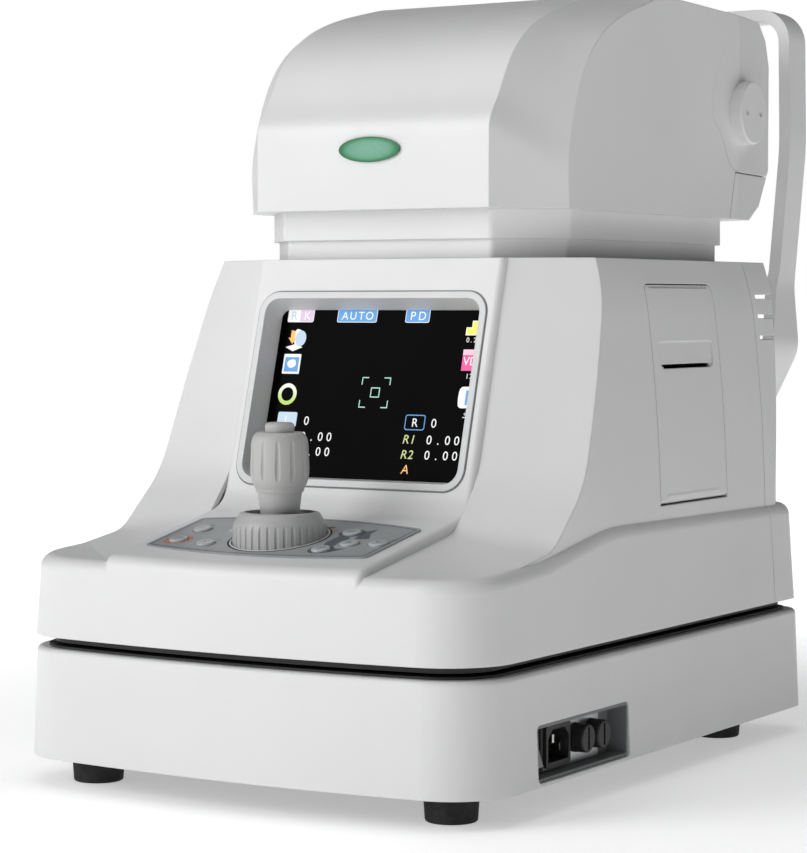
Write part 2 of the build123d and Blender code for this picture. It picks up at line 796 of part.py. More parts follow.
with BuildPart() as printer_door:
    add(column_form(0))
    add(column_form(door_thickness), mode=Mode.SUBTRACT)
    add(door_block.part, mode=Mode.INTERSECT)
    add(door_hollows.part, mode=Mode.SUBTRACT)
    with BuildSketch(Plane.XZ.offset(-behind(door_middle))):
        with Locations((hinge_side + 10, door_bottom)):
            Rectangle(20, 2 * (hinge_height - door_bottom))
        with Locations((hinge_side, hinge_height)):
            Circle(hinge_height - door_bottom, mode=Mode.SUBTRACT)
    extrude(amount=door_length, both=True, mode=Mode.SUBTRACT)
    with BuildSketch(Plane.YZ.offset(column_half - 40)):
        with Locations((behind(door_middle), slot_height)):
            Rectangle(paper_width, 2.2)
    extrude(amount=60, mode=Mode.SUBTRACT)
    with BuildSketch(Plane.XZ.offset(-behind(door_middle))):
        with Locations((hinge_side, hinge_height)):
            Circle(hinge_radius + 1.9)
    extrude(amount=door_length / 2 - 8, both=True)
    with BuildSketch(Plane.XZ.offset(-behind(door_middle))):
        with Locations((hinge_side, hinge_height)):
            Circle(hinge_radius + running)
    extrude(amount=door_length, both=True, mode=Mode.SUBTRACT)
save(printer_door.part, "printer_door")

# ---------------------------------------------------------------------------------------------
# Printer: cradle, paper roll and platen roller, all lengthwise along Y
# ---------------------------------------------------------------------------------------------
frame_half = 64.0               # half the width of the lift frame, which carries the cradle
roll_radius = 21.0
roll_core = 6.0
roll_side = column_half - 36.0
roll_height = 172.0
platen_radius = 5.0
platen_axle = 1.5
platen_side = column_half - 21.0
cradle_inner = frame_half + 2
cradle_half = paper_width / 2 + 5
with BuildPart() as paper_roll:
    with BuildSketch(Plane.XZ.offset(-behind(door_middle))):
        with Locations((roll_side, roll_height)):
            Circle(roll_radius)
            Circle(roll_core, mode=Mode.SUBTRACT)
    extrude(amount=paper_width / 2 - 0.5, both=True)
save(paper_roll.part, "paper_roll")

with BuildPart() as printer_cradle:
    with BuildSketch(Plane.XZ.offset(-behind(door_middle))):
        with Locations(((cradle_inner + platen_side) / 2 + 2, (roll_height + slot_height) / 2)):
            Rectangle(platen_side - cradle_inner + 8, slot_height - roll_height + 2 * roll_radius + 10)
    extrude(amount=cradle_half, both=True)
    with BuildSketch(Plane.XZ.offset(-behind(door_middle))):
        with Locations(((cradle_inner + platen_side) / 2 + 4, (roll_height + slot_height) / 2)):
            Rectangle(platen_side - cradle_inner + 8, slot_height - roll_height + 2 * roll_radius + 4)
    extrude(amount=cradle_half - 2, both=True, mode=Mode.SUBTRACT)
    with BuildSketch(Plane.XZ.offset(-behind(door_middle))):
        with Locations((platen_side, slot_height)):
            Circle(platen_axle + running)
    extrude(amount=cradle_half + 1, both=True, mode=Mode.SUBTRACT)
    with BuildSketch(Plane.XZ.offset(-behind(door_middle))):
        with Locations((roll_side, roll_height)):
            Circle(roll_core - slack)
    extrude(amount=cradle_half - 1, both=True)
    with BuildSketch(Plane.XZ.offset(-behind(door_middle))):
        with Locations((hinge_side, hinge_height)):
            Circle(hinge_radius)
    extrude(amount=door_length / 2 + 4, both=True)
save(printer_cradle.part, "printer_cradle")

with BuildPart() as platen_roller:
    with BuildSketch(Plane.XZ.offset(-behind(door_middle))):
        with Locations((platen_side, slot_height)):
            Circle(platen_radius)
    extrude(amount=paper_width / 2, both=True)
    with BuildSketch(Plane.XZ.offset(-behind(door_middle))):
        with Locations((platen_side, slot_height)):
            Circle(platen_axle)
    extrude(amount=cradle_half, both=True)
save(platen_roller.part, "platen_roller")

# ---------------------------------------------------------------------------------------------
# Body chassis with the bushes that ride on the cross shaft
# ---------------------------------------------------------------------------------------------
chassis_bottom = glide_top + 1.3
chassis_step = skirt_bottom + 0.4
chassis_top = chassis_step + 3.0
chassis_inset = 9.0
bush_radius = 9.0
bush_half_length = 8.0
bush_offset = 42.0
socket_radius = 21.0
socket_bore = 18.5
pivot_height = 112.0
trunnion_radius = 2.0
socket_top = pivot_height + 5.0
stick = (0, behind(joystick_depth))
with BuildPart() as body_chassis:
    with BuildSketch(Plane.XY.offset(chassis_bottom)):
        footprint(skirt_half, body_back, chassis_inset)
    extrude(amount=chassis_step - chassis_bottom)
    with BuildSketch(Plane.XY.offset(chassis_step)):
        footprint(skirt_half, body_back, wall + 2 * fit + 0.4)
    extrude(amount=chassis_top - chassis_step)
    with BuildSketch(Plane.XY.offset(chassis_bottom)):
        with Locations((0, behind(joystick_depth))):
            Circle(socket_bore)
    extrude(amount=20, mode=Mode.SUBTRACT)
    with BuildSketch(Plane.XY.offset(chassis_top)):
        with Locations(stick):
            Circle(socket_radius)
            Circle(socket_bore, mode=Mode.SUBTRACT)
    extrude(amount=socket_top - chassis_top)
    with BuildSketch(Plane.YZ):
        with Locations((stick[1], pivot_height)):
            Circle(trunnion_radius + running)
    extrude(amount=socket_radius + 1, both=True, mode=Mode.SUBTRACT)
    for side in (-1, 1):
        with BuildSketch(Plane.YZ.offset(side * bush_offset - bush_half_length)):
            with Locations((behind(shaft_depth), shaft_height)):
                Circle(bush_radius)
            with Locations((behind(shaft_depth), (shaft_height + chassis_bottom) / 2)):
                Rectangle(2 * bush_radius, chassis_bottom - shaft_height)
            with Locations((behind(shaft_depth), shaft_height)):
                Circle(shaft_radius + running, mode=Mode.SUBTRACT)
        extrude(amount=2 * bush_half_length)
save(body_chassis.part, "body_chassis")

# ---------------------------------------------------------------------------------------------
# Joystick: socket, gimbal, rod, stem, grip, button and the ribbed height ring around it
# ---------------------------------------------------------------------------------------------
gimbal_outer = 16.0
gimbal_inner = 11.0
gimbal_half = 4.0
rod_radius = 4.0
ring_bottom = pivot_height
ring_wall = ring_radius - socket_radius - slack
ring_top = 140.0
stem_bottom = 134.0
grip_bottom = 149.8
grip_top = 179.0

with BuildPart() as joystick_gimbal:
    with BuildSketch(Plane.XY.offset(pivot_height - gimbal_half)):
        with Locations(stick):
            Circle(gimbal_outer)
            Circle(gimbal_inner, mode=Mode.SUBTRACT)
    extrude(amount=2 * gimbal_half)
    for side in (-1, 1):
        with BuildSketch(Plane.YZ.offset(side * (gimbal_outer - 2))):
            with Locations((stick[1], pivot_height)):
                Circle(trunnion_radius)
        extrude(amount=side * (socket_radius - gimbal_outer + 2))
    with BuildSketch(Plane.XZ.offset(-stick[1])):
        with Locations((0, pivot_height)):
            Circle(trunnion_radius + running)
    extrude(amount=gimbal_outer + 1, both=True, mode=Mode.SUBTRACT)
save(joystick_gimbal.part, "joystick_gimbal")

foot_ball = 5.5
ball_height = glide_top + slack + foot_ball
with BuildPart() as joystick_stem:
    with BuildSketch(Plane.XZ.offset(-stick[1])):
        with BuildLine():
            Polyline(
                (0, ball_height), (rod_radius, ball_height), (rod_radius, stem_bottom), (9.3, stem_bottom),
                (9.4, stem_bottom + 4), (10.9, grip_bottom), (0, grip_bottom), close=True,
            )
        make_face()
    revolve(axis=Axis((0, stick[1], 0), (0, 0, 1)))
    with BuildSketch(Plane.XZ.offset(-stick[1])):
        with Locations((0, pivot_height)):
            Circle(trunnion_radius)
    extrude(amount=gimbal_outer - 1, both=True)
    with Locations((0, stick[1], ball_height)):
        Sphere(foot_ball)
save(joystick_stem.part, "joystick_stem")

with BuildPart() as joystick_grip:
    with BuildSketch(Plane.XZ.offset(-stick[1])):
        with BuildLine():
            Polyline((7.6, grip_top), (0, grip_top - 6), (0, grip_bottom), (11.6, grip_bottom), (12.0, 151.5))
            Spline((12.0, 151.5), (13.9, 156), (14.5, 161), (14.1, 169), (13.4, 176), (11.2, grip_top))
            Line((11.2, grip_top), (7.6, grip_top))
        make_face()
    revolve(axis=Axis((0, stick[1], 0), (0, 0, 1)))
    with BuildSketch(Plane.XY.offset(grip_top - 6)):
        with Locations(stick):
            Circle(7.6)
    extrude(amount=6, mode=Mode.SUBTRACT)
    with BuildSketch(Plane.XY.offset(grip_bottom + 2)):
        with Locations(stick):
            with PolarLocations(15.1, 12):
                Circle(1.5)
    extrude(amount=grip_top - grip_bottom - 5, mode=Mode.SUBTRACT)
save(joystick_grip.part, "joystick_grip")

button_travel = 1.5
with BuildPart() as measure_button:
    with BuildSketch(Plane.XY.offset(grip_top - 6 + button_travel + 0.3)):
        with Locations(stick):
            Circle(7.6 - slack)
    extrude(amount=9)
    fillet(measure_button.edges().group_by(Axis.Z)[-1], 2)
save(measure_button.part, "measure_button")

with BuildPart() as height_ring:
    with BuildSketch(Plane.XZ.offset(-stick[1])):
        with BuildLine():
            Polyline(
                (ring_top_opening, ring_top), (ring_top_opening, ring_top - 2),
                (ring_radius - ring_wall, 129), (ring_radius - ring_wall, ring_bottom),
                (ring_radius, ring_bottom), (ring_radius, 130.5),
            )
            Spline(
                (ring_radius, 130.5), (22.4, 135), (20.4, 138.2), (ring_top_opening + 1.2, ring_top),
                tangents=[(0, 1), (-1, 0.1)],
            )
            Line((ring_top_opening + 1.2, ring_top), (ring_top_opening, ring_top))
        make_face()
    revolve(axis=Axis((0, stick[1], 0), (0, 0, 1)))
    with BuildSketch(Plane.XY.offset(121)):
        with Locations(stick):
            with PolarLocations(ring_radius + 0.25, ring_ribs):
                Circle(1.0)
    extrude(amount=30, mode=Mode.SUBTRACT)
save(height_ring.part, "height_ring")

# ---------------------------------------------------------------------------------------------
# Key panel and keys
# ---------------------------------------------------------------------------------------------
key_stand = 1.2                 # height of a key above the panel
key_depth = 2.2
with BuildPart() as key_panel:
    with BuildSketch(panel_plane):
        with BuildLine():
            Line((-64.5, -24), (-65.5, 27))
            ThreePointArc((-65.5, 27), (0, 36), (65.5, 27))
            Line((65.5, 27), (64.5, -24))
            ThreePointArc((64.5, -24), (0, -31), (-64.5, -24))
        panel_face = make_face()
        fillet(panel_face.vertices(), 3)
        with Locations(*key_places.values()):
            Circle(key_hole, mode=Mode.SUBTRACT)
    extrude(amount=overlay_thickness)
    with BuildSketch(Plane.XY.offset(100)):
        with Locations(stick):
            Circle(ring_hole)
    extrude(amount=60, mode=Mode.SUBTRACT)
save(key_panel.part, "key_panel")

for name, place in key_places.items():
    with BuildPart() as key:
        with BuildSketch(panel_plane.offset(-key_depth)):
            with Locations(place):
                Circle(key_radius)
        extrude(amount=key_depth + overlay_thickness + key_stand)
        fillet(key.faces().sort_by(Axis(panel_plane.origin, panel_plane.z_dir))[-1].edges(), 1.0)
    save(key.part, name)

# ---------------------------------------------------------------------------------------------
# Screen: bezel, glass and display, all square to the tilted panel
# ---------------------------------------------------------------------------------------------
bezel_depth = 11.0
with BuildPart() as screen_bezel:
    with BuildSketch(screen_plane):
        RectangleRounded(screen_width - 2 * fit, screen_height - 2 * fit, 10 - fit)
    extrude(amount=-bezel_depth)
    with BuildSketch(screen_plane):
        RectangleRounded(screen_width + 3, screen_height + 3, 11.5)
    extrude(amount=0.9)
    with BuildSketch(screen_plane.offset(0.9)):
        RectangleRounded(screen_width - 4, screen_height - 4, 8)
    extrude(amount=-bezel_depth - 0.9, taper=15, mode=Mode.SUBTRACT)
save(screen_bezel.part, "screen_bezel")

with BuildPart() as display:
    with BuildSketch(screen_plane.offset(-bezel_depth)):
        RectangleRounded(screen_width - 6, screen_height - 6, 2)
    extrude(amount=-6)
save(display.part, "display")

# ---------------------------------------------------------------------------------------------
# Lift: frame, guide rods, screw and motor in the body; two collars that close the gap
# ---------------------------------------------------------------------------------------------
frame_leg = 4.0
frame_shelf = 165.0
rod_offset = 50.0
guide_radius = 5.0
screw_offset = 32.0
lift_screw_radius = 4.0
lift_screw_top = 332.0
with BuildPart() as lift_frame:
    with BuildSketch(Plane.XZ.offset(-behind(lift_depth))):
        with Locations((0, (chassis_top + frame_shelf + 5) / 2)):
            Rectangle(2 * frame_half, frame_shelf + 5 - chassis_top)
        with Locations((0, (chassis_top + frame_shelf) / 2)):
            Rectangle(2 * (frame_half - frame_leg), frame_shelf - chassis_top, mode=Mode.SUBTRACT)
    extrude(amount=28, both=True)
    with BuildSketch(Plane.XY.offset(frame_shelf)):
        with Locations((screw_offset, behind(lift_depth))):
            Circle(lift_screw_radius + running)
    extrude(amount=5, mode=Mode.SUBTRACT)
    with BuildSketch(Plane.XY.offset(frame_shelf + 5)):
        with Locations((-rod_offset, behind(lift_depth)), (rod_offset, behind(lift_depth))):
            Circle(guide_radius)
    extrude(amount=lift_screw_top + 6 - frame_shelf - 5)
save(lift_frame.part, "lift_frame")

with BuildPart() as lift_motor:
    with BuildSketch(Plane.XY.offset(frame_shelf - 42)):
        with Locations((screw_offset, behind(lift_depth))):
            RectangleRounded(42, 42, 5)
    extrude(amount=40)
save(lift_motor.part, "lift_motor")

with BuildPart() as lift_screw:
    with BuildSketch(Plane.XY.offset(frame_shelf - 1.6)):
        with Locations((screw_offset, behind(lift_depth))):
            Circle(lift_screw_radius)
    extrude(amount=lift_screw_top - frame_shelf + 1.6)
    chamfer(lift_screw.edges().group_by(Axis.Z)[-1], 1)
save(lift_screw.part, "lift_screw")


def collar(inset):
    """Plan of a telescoping collar: a narrower front and chamfered corners."""
    outline = [
        (-63.2, behind(147)), (63.2, behind(147)), (collar_half, behind(180)), (collar_half, behind(361)),
        (collar_half - 8, behind(369)), (8 - collar_half, behind(369)), (-collar_half, behind(361)),
        (-collar_half, behind(180)),
    ]
    with BuildLine() as edge:
        FilletPolyline(*drawn_in(outline, inset), radius=4, close=True)
    make_face(edge.edges())


lower_collar_top = 289.0
upper_collar_bottom = 274.7
upper_collar_top = 306.0
with BuildPart() as lower_collar:
    with BuildSketch(Plane.XY.offset(column_top)):
        collar(collar_step)
    extrude(amount=lower_collar_top - column_top)
    with BuildSketch(Plane.XY.offset(column_top)):
        collar(collar_step + collar_wall)
    extrude(amount=lower_collar_top - column_top, mode=Mode.SUBTRACT)
save(lower_collar.part, "lower_collar")

with BuildPart() as upper_collar:
    with BuildSketch(Plane.XY.offset(upper_collar_bottom)):
        collar(0)
    extrude(amount=upper_collar_top - upper_collar_bottom)
    with BuildSketch(Plane.XY.offset(upper_collar_bottom)):
        collar(collar_wall)
    extrude(amount=upper_collar_top - upper_collar_bottom, mode=Mode.SUBTRACT)
save(upper_collar.part, "upper_collar")

# ---------------------------------------------------------------------------------------------
# Head: shell, lower nose cover, badge, side caps, window and optics
# ---------------------------------------------------------------------------------------------
head_front = 133.0
head_middle_half = 70.0
head_wall = 2.6
nose_side_turn = 372.0
nose_half = 86.0


def head_form(inset):
    """The measuring head: a flat-faced middle with facets falling away to each side."""
    low = head_bottom
    middle = [
        (head_front, low), (head_front, 328), (140, 343), (154, 365), (184, 387.5), (240, 403.5),
        (310, 409.3),
        (420, 408), (436, 399), (nose_back, 384), (nose_back, 318), (424, 298), (404, low),
    ]
    side = [
        (168, low), (167, 307), (171, 332), (184, 361), (209, 384), (255, 401), (310, 406.5),
        (412, 404.5), (426, 394), (433, 380), (433, 322), (414, 299), (394, low),
    ]
    with BuildPart() as form:
        with BuildSketch(Plane.YZ):
            smooth_outline(side_view(drawn_in(middle, inset)), 1, 6)
        extrude(amount=head_middle_half, both=True)
        with BuildSketch(Plane.YZ.offset(head_middle_half)):
            smooth_outline(side_view(drawn_in(middle, inset)), 1, 6)
        with BuildSketch(Plane.YZ.offset(head_half)):
            smooth_outline(side_view(drawn_in(side, inset)), 1, 6)
        loft(ruled=True)
        mirror(about=Plane.YZ)
        half = head_half - inset
        rear = nose_half - inset
        with BuildSketch(Plane.XY):
            with BuildLine():
                Polyline(
                    (half, behind(0)), (half, behind(nose_side_turn)), (rear, behind(nose_back + 1)),
                    (-rear, behind(nose_back + 1)), (-half, behind(nose_side_turn)), (-half, behind(0)),
                    close=True,
                )
            make_face()
        extrude(amount=600, mode=Mode.INTERSECT)
    return form.part


cheek_depth = 3.0               # hollow in each side of the head around the cap
cheek_start = 337.0
cheek_end = 379.0


def cheek(margin):
    """The hollow in the head's right side, deepest at its front edge; a margin grows it all round."""
    outline = [
        (388, 404), (379, 403), (369, 396), (350, 380), (cheek_start, 360), (338, 346), (351, 335),
        (361, 320), (369, 317), (388, 317),
    ]
    slope = cheek_depth / (cheek_end - cheek_start)
    near = head_half - cheek_depth - slope * 20 - margin
    with BuildPart() as form:
        with BuildSketch(Plane.YZ.offset(head_half - 12)):
            rounded_outline(side_view(drawn_in(outline, -margin)), [3, 6, 12, 8, 6, 5, 5, 3])
        extrude(amount=24)
        with BuildSketch(Plane.XY.offset(head_bottom)):
            with BuildLine():
                Polyline(
                    (near, behind(cheek_start - 20)), (near + 80 * slope, behind(cheek_start + 60)),
                    (2 * head_half, behind(cheek_start + 60)), (2 * head_half, behind(cheek_start - 20)),
                    close=True,
                )
            make_face()
        extrude(amount=160, mode=Mode.INTERSECT)
        mirror(about=Plane.YZ)
    return form.part


cap_depth = 381.0
cap_radius = 18.0
cap_height = 350.5
cap_stand = 6.0
cap_root = 6.0                  # how far a cap reaches into its hole in the shell
chin_seam_height = 316.0
window_radius = 30.0
with BuildPart() as chin_wedge:
    with BuildSketch(Plane.YZ):
        with BuildLine():
            Polyline(
                *side_view([
                    (359, 280), (nose_side_turn - 3, chin_seam_height), (480, chin_seam_height), (480, 280),
                ]),
                close=True,
            )
        make_face()
    extrude(amount=base_half, both=True)

with BuildPart() as chin_wedge_clear:
    with BuildSketch(Plane.YZ):
        with BuildLine():
            Polyline(
                *side_view([
                    (359 - 2 * seam, 280), (nose_side_turn - 3 - 2 * seam, chin_seam_height + 2 * seam),
                    (480, chin_seam_height + 2 * seam), (480, 280),
                ]),
                close=True,
            )
        make_face()
    extrude(amount=base_half, both=True)

with BuildPart() as head_inside:
    add(head_form(head_wall))
    add(cheek(head_wall), mode=Mode.SUBTRACT)

with BuildPart() as head_hollow:
    add(head_form(0))
    add(cheek(0), mode=Mode.SUBTRACT)
    add(head_inside.part, mode=Mode.SUBTRACT)

with BuildPart() as head_shell:
    add(head_hollow.part)
    add(chin_wedge_clear.part, mode=Mode.SUBTRACT)
    with BuildSketch(Plane.XY.offset(head_bottom)):
        collar(-1)
    extrude(amount=2 * head_wall, mode=Mode.SUBTRACT)
    with BuildSketch(Plane.XZ.offset(-behind(nose_back + 5))):
        with Locations((0, eye_height)):
            Circle(window_radius)
    extrude(amount=20, mode=Mode.SUBTRACT)
    with BuildSketch(Plane.YZ):
        with Locations((behind(cap_depth), cap_height)):
            Circle(cap_radius)
    extrude(amount=head_half, both=True, mode=Mode.SUBTRACT)
save(head_shell.part, "head_shell")

with BuildPart() as nose_lower_cover:
    add(head_hollow.part)
    add(chin_wedge.part, mode=Mode.INTERSECT)
    with BuildSketch(Plane.XY.offset(head_bottom)):
        collar(-1)
    extrude(amount=2 * head_wall, mode=Mode.SUBTRACT)
save(nose_lower_cover.part, "nose_lower_cover")

badge_height = 320.6
with BuildPart() as badge:
    with BuildSketch(Plane.XZ.offset(-behind(head_front))):
        with Locations((0, badge_height)):
            Ellipse(18.3, 6.5)
    extrude(amount=1.4)
save(badge.part, "badge")

with BuildPart() as side_caps:
    with BuildSketch(Plane.YZ.offset(head_half + cap_stand)):
        with Locations((behind(cap_depth), cap_height)):
            Circle(cap_radius)
    extrude(amount=-cap_stand - cap_root)
    fillet(side_caps.edges().group_by(Axis.X)[-1], 1.2)
    with BuildSketch(Plane.YZ.offset(head_half + cap_stand)):
        with Locations((behind(cap_depth - 9), cap_height), (behind(cap_depth + 9), cap_height)):
            Circle(1.8)
    extrude(amount=-2, mode=Mode.SUBTRACT)
    mirror(about=Plane.YZ)
save(side_caps.part, "side_caps")

tube_radius = 23.0
tube_front = 215.0
deck_height = 322.0
deck_thickness = eye_height - tube_radius - deck_height
boss_radius = 9.0
with BuildPart() as head_chassis:
    with BuildSketch(Plane.XY.offset(deck_height)):
        with Locations((0, behind(285))):
            Rectangle(2 * (head_half - head_wall - cheek_depth - 1), 150)
    extrude(amount=deck_thickness)
    with BuildSketch(Plane.XY.offset(head_bottom + 6)):
        with Locations((-rod_offset, behind(lift_depth)), (rod_offset, behind(lift_depth))):
            Circle(boss_radius)
        with Locations((screw_offset, behind(lift_depth))):
            Circle(boss_radius - 1)
    extrude(amount=deck_height - head_bottom - 6)
    with BuildSketch(Plane.XY.offset(head_bottom)):
        with Locations((-rod_offset, behind(lift_depth)), (rod_offset, behind(lift_depth))):
            Circle(guide_radius + running)
        with Locations((screw_offset, behind(lift_depth))):
            Circle(lift_screw_radius + running)
    extrude(amount=60, mode=Mode.SUBTRACT)
save(head_chassis.part, "head_chassis")

with BuildPart() as measuring_tube:
    with BuildSketch(Plane.XZ.offset(-behind(tube_front))):
        with Locations((0, eye_height)):
            Circle(tube_radius)
            Circle(tube_radius - 2.5, mode=Mode.SUBTRACT)
    extrude(amount=-(nose_back - 14 - tube_front))
save(measuring_tube.part, "measuring_tube")

with BuildPart() as objective:
    with BuildSketch(Plane.XZ.offset(-behind(nose_back - 14))):
        with Locations((0, eye_height)):
            Circle(tube_radius - 2.5 - fit)
    extrude(amount=8)
    fillet(objective.edges().sort_by(Axis.Y)[-1], 3)
save(objective.part, "objective")

with BuildPart() as window_ring:
    with BuildSketch(Plane.XZ.offset(-behind(nose_back - 12))):
        with Locations((0, eye_height)):
            Circle(window_radius - fit)
            Circle(window_radius - 3, mode=Mode.SUBTRACT)
    extrude(amount=-13)
    with BuildSketch(Plane.XZ.offset(-behind(nose_back))):
        with Locations((0, eye_height)):
            Circle(window_radius + 3)
            Circle(window_radius - 3, mode=Mode.SUBTRACT)
    extrude(amount=-1.6)
save(window_ring.part, "window_ring")

with BuildPart() as mire_ring:
    with BuildSketch(Plane.XZ.offset(-behind(nose_back - 9))):
        with Locations((0, eye_height)):
            Circle(window_radius - 3 - running)
            Circle(13, mode=Mode.SUBTRACT)
    extrude(amount=-4)
save(mire_ring.part, "mire_ring")

# ---------------------------------------------------------------------------------------------
# Headrest: post on the base, blade-like face frame, forehead rest, chin cup on its lift
# ---------------------------------------------------------------------------------------------
post_front = base_depth + travel_back + 4
post_top = 176.0
stem_depth = post_front + 20
stem_radius = 9.0
stem_bottom_height = 100.0
stem_bore_floor = 60.0
cup_bottom = 208.0
chin_screw_radius = 4.0
with BuildPart() as headrest_post:
    with BuildSketch(Plane.YZ):
        with BuildLine():
            FilletPolyline(
                *side_view([
                    (base_depth - 38, plate_top), (base_depth - wall - 1, plate_top),
                    (base_depth - wall - 1, 22),
                    (post_front + 32, 22), (frame_root - fit, 66), (frame_root - fit, post_top),
                    (post_front, post_top), (post_front, 58), (base_depth - 8, 58),
                    (base_depth - 8, plate_top + 8), (base_depth - 38, plate_top + 8),
                ]),
                radius=2,
                close=True,
            )
        make_face()
    extrude(amount=post_half, both=True)
    with BuildSketch(Plane.XZ.offset(-behind(post_front - 3))):
        with BuildLine():
            Polyline((-post_half, 62), (-24, 92), (-24, 200), (-80, 200), (-80, 62), close=True)
        make_face()
        mirror(about=Plane.YZ)
    extrude(amount=-80, mode=Mode.SUBTRACT)
    with BuildSketch(Plane.XY.offset(stem_bore_floor)):
        with Locations((0, behind(stem_depth))):
            Circle(stem_radius + running)
    extrude(amount=post_top - stem_bore_floor, mode=Mode.SUBTRACT)
save(headrest_post.part, "headrest_post")

with BuildPart() as chin_screw:
    with BuildSketch(Plane.XY.offset(stem_bore_floor)):
        with Locations((0, behind(stem_depth))):
            Circle(chin_screw_radius)
    extrude(amount=90)
save(chin_screw.part, "chin_screw")

with BuildPart() as chin_stem:
    with BuildSketch(Plane.XY.offset(stem_bottom_height)):
        with Locations((0, behind(stem_depth))):
            Circle(stem_radius)
            Circle(chin_screw_radius + running, mode=Mode.SUBTRACT)
    extrude(amount=12)
    with BuildSketch(Plane.XY.offset(stem_bottom_height + 12)):
        with Locations((0, behind(stem_depth))):
            Circle(stem_radius)
            Circle(chin_screw_radius + 1.5, mode=Mode.SUBTRACT)
    extrude(amount=cup_bottom - stem_bottom_height - 12)
save(chin_stem.part, "chin_stem")

cup_half = 36.0
cup_front = stem_depth - 14
cup_back = frame_back + cup_overhang
cup_top = 226.0
pin_radius = 1.5
pin_length = 16.0
pin_depth = cup_front + 14
with BuildPart() as chin_cup:
    with BuildSketch(Plane.XY.offset(cup_bottom)):
        with Locations((0, behind((cup_front + cup_back) / 2))):
            RectangleRounded(2 * cup_half, cup_back - cup_front, 14)
    extrude(amount=cup_top - cup_bottom + 6)
    with BuildSketch(Plane.XZ.offset(-behind(cup_back + 1))):
        with BuildLine():
            Line((-cup_half - 1, cup_top + 7), (-cup_half - 1, cup_top + 3))
            Line((-cup_half - 1, cup_top + 3), (-cup_half + 4, cup_top + 3))
            ThreePointArc((-cup_half + 4, cup_top + 3), (0, cup_top - 7), (cup_half - 4, cup_top + 3))
            Line((cup_half - 4, cup_top + 3), (cup_half + 1, cup_top + 3))
            Line((cup_half + 1, cup_top + 3), (cup_half + 1, cup_top + 7))
            Line((cup_half + 1, cup_top + 7), (-cup_half - 1, cup_top + 7))
        make_face()
    extrude(amount=cup_back - pin_depth - 8, mode=Mode.SUBTRACT)
    fillet(chin_cup.edges().group_by(Axis.Z)[0], 4)
save(chin_cup.part, "chin_cup")

with BuildPart() as chin_paper_pins:
    with BuildSketch(Plane.XY.offset(cup_top + 6)):
        with Locations((-28, behind(pin_depth - 6)), (28, behind(pin_depth - 6))):
            Circle(pin_radius)
    extrude(amount=pin_length)
save(chin_paper_pins.part, "chin_paper_pins")

rest_half = 54.0
rest_low = 380.0
rest_front = frame_front + 8
rest_thickness = 5.0
blade_corner = 20.0
blade_outline = [
    (-88.5, frame_top), (88.5, frame_top), (89.8, 336), (82.6, 252), (86, 214), (67, 176), (30, 168),
    (-30, 168), (-67, 176), (-86, 214), (-82.6, 252), (-89.8, 336),
]
blade_radii = [blade_corner, blade_corner, 180, 60, 26, 24, 20, 20, 24, 26, 60, 180]
inner_radii = [r - frame_blade if r in (blade_corner, 26, 24) else r for r in blade_radii]


def blade(inset, radii):
    """Front view of the face frame's edge."""
    with BuildLine() as edge:
        FilletPolyline(*drawn_in(blade_outline, inset), radius=radii, close=True)
    make_face(edge.edges())


with BuildPart() as face_frame:
    with BuildSketch(Plane.XZ.offset(-behind(frame_root))):
        blade(0, blade_radii)
    extrude(amount=-frame_root_depth)
    with BuildSketch(Plane.XZ.offset(-behind(frame_root))):
        blade(frame_blade, inner_radii)
    extrude(amount=-frame_root_depth, mode=Mode.SUBTRACT)
    with BuildSketch(Plane.YZ):
        with BuildLine():
            Polyline(
                *side_view([
                    (frame_root - 1, 205), (frame_front, 262), (frame_front, frame_top + 1),
                    (frame_root - 1, frame_top + 1),
                ]),
                close=True,
            )
        make_face()
    extrude(amount=base_half, both=True, mode=Mode.SUBTRACT)
    with BuildSketch(Plane.XZ.offset(-behind(rest_front))):
        with Locations((0, (rest_low + frame_top - 1) / 2)):
            Rectangle(2 * rest_half, frame_top - 1 - rest_low)
    extrude(amount=-rest_thickness)
save(face_frame.part, "face_frame")

pad_depth = 13.0
with BuildPart() as forehead_pad:
    with BuildSketch(Plane.XY.offset(rest_low + 2)):
        with BuildLine():
            Line(
                (4 - rest_half, behind(rest_front + rest_thickness)),
                (rest_half - 4, behind(rest_front + rest_thickness)),
            )
            Line(
                (rest_half - 4, behind(rest_front + rest_thickness)),
                (rest_half - 4, behind(rest_front + rest_thickness + pad_depth - 1)),
            )
            ThreePointArc(
                (rest_half - 4, behind(rest_front + rest_thickness + pad_depth - 1)),
                (0, behind(rest_front + rest_thickness + 6)),
                (4 - rest_half, behind(rest_front + rest_thickness + pad_depth - 1)),
            )
            Line(
                (4 - rest_half, behind(rest_front + rest_thickness + pad_depth - 1)),
                (4 - rest_half, behind(rest_front + rest_thickness)),
            )
        make_face()
    extrude(amount=frame_top - frame_blade - rest_low - 4)
    fillet(forehead_pad.edges().filter_by(Axis.Z), 2)
save(forehead_pad.part, "forehead_pad")
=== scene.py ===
import json
from math import cos, pi, radians, sin

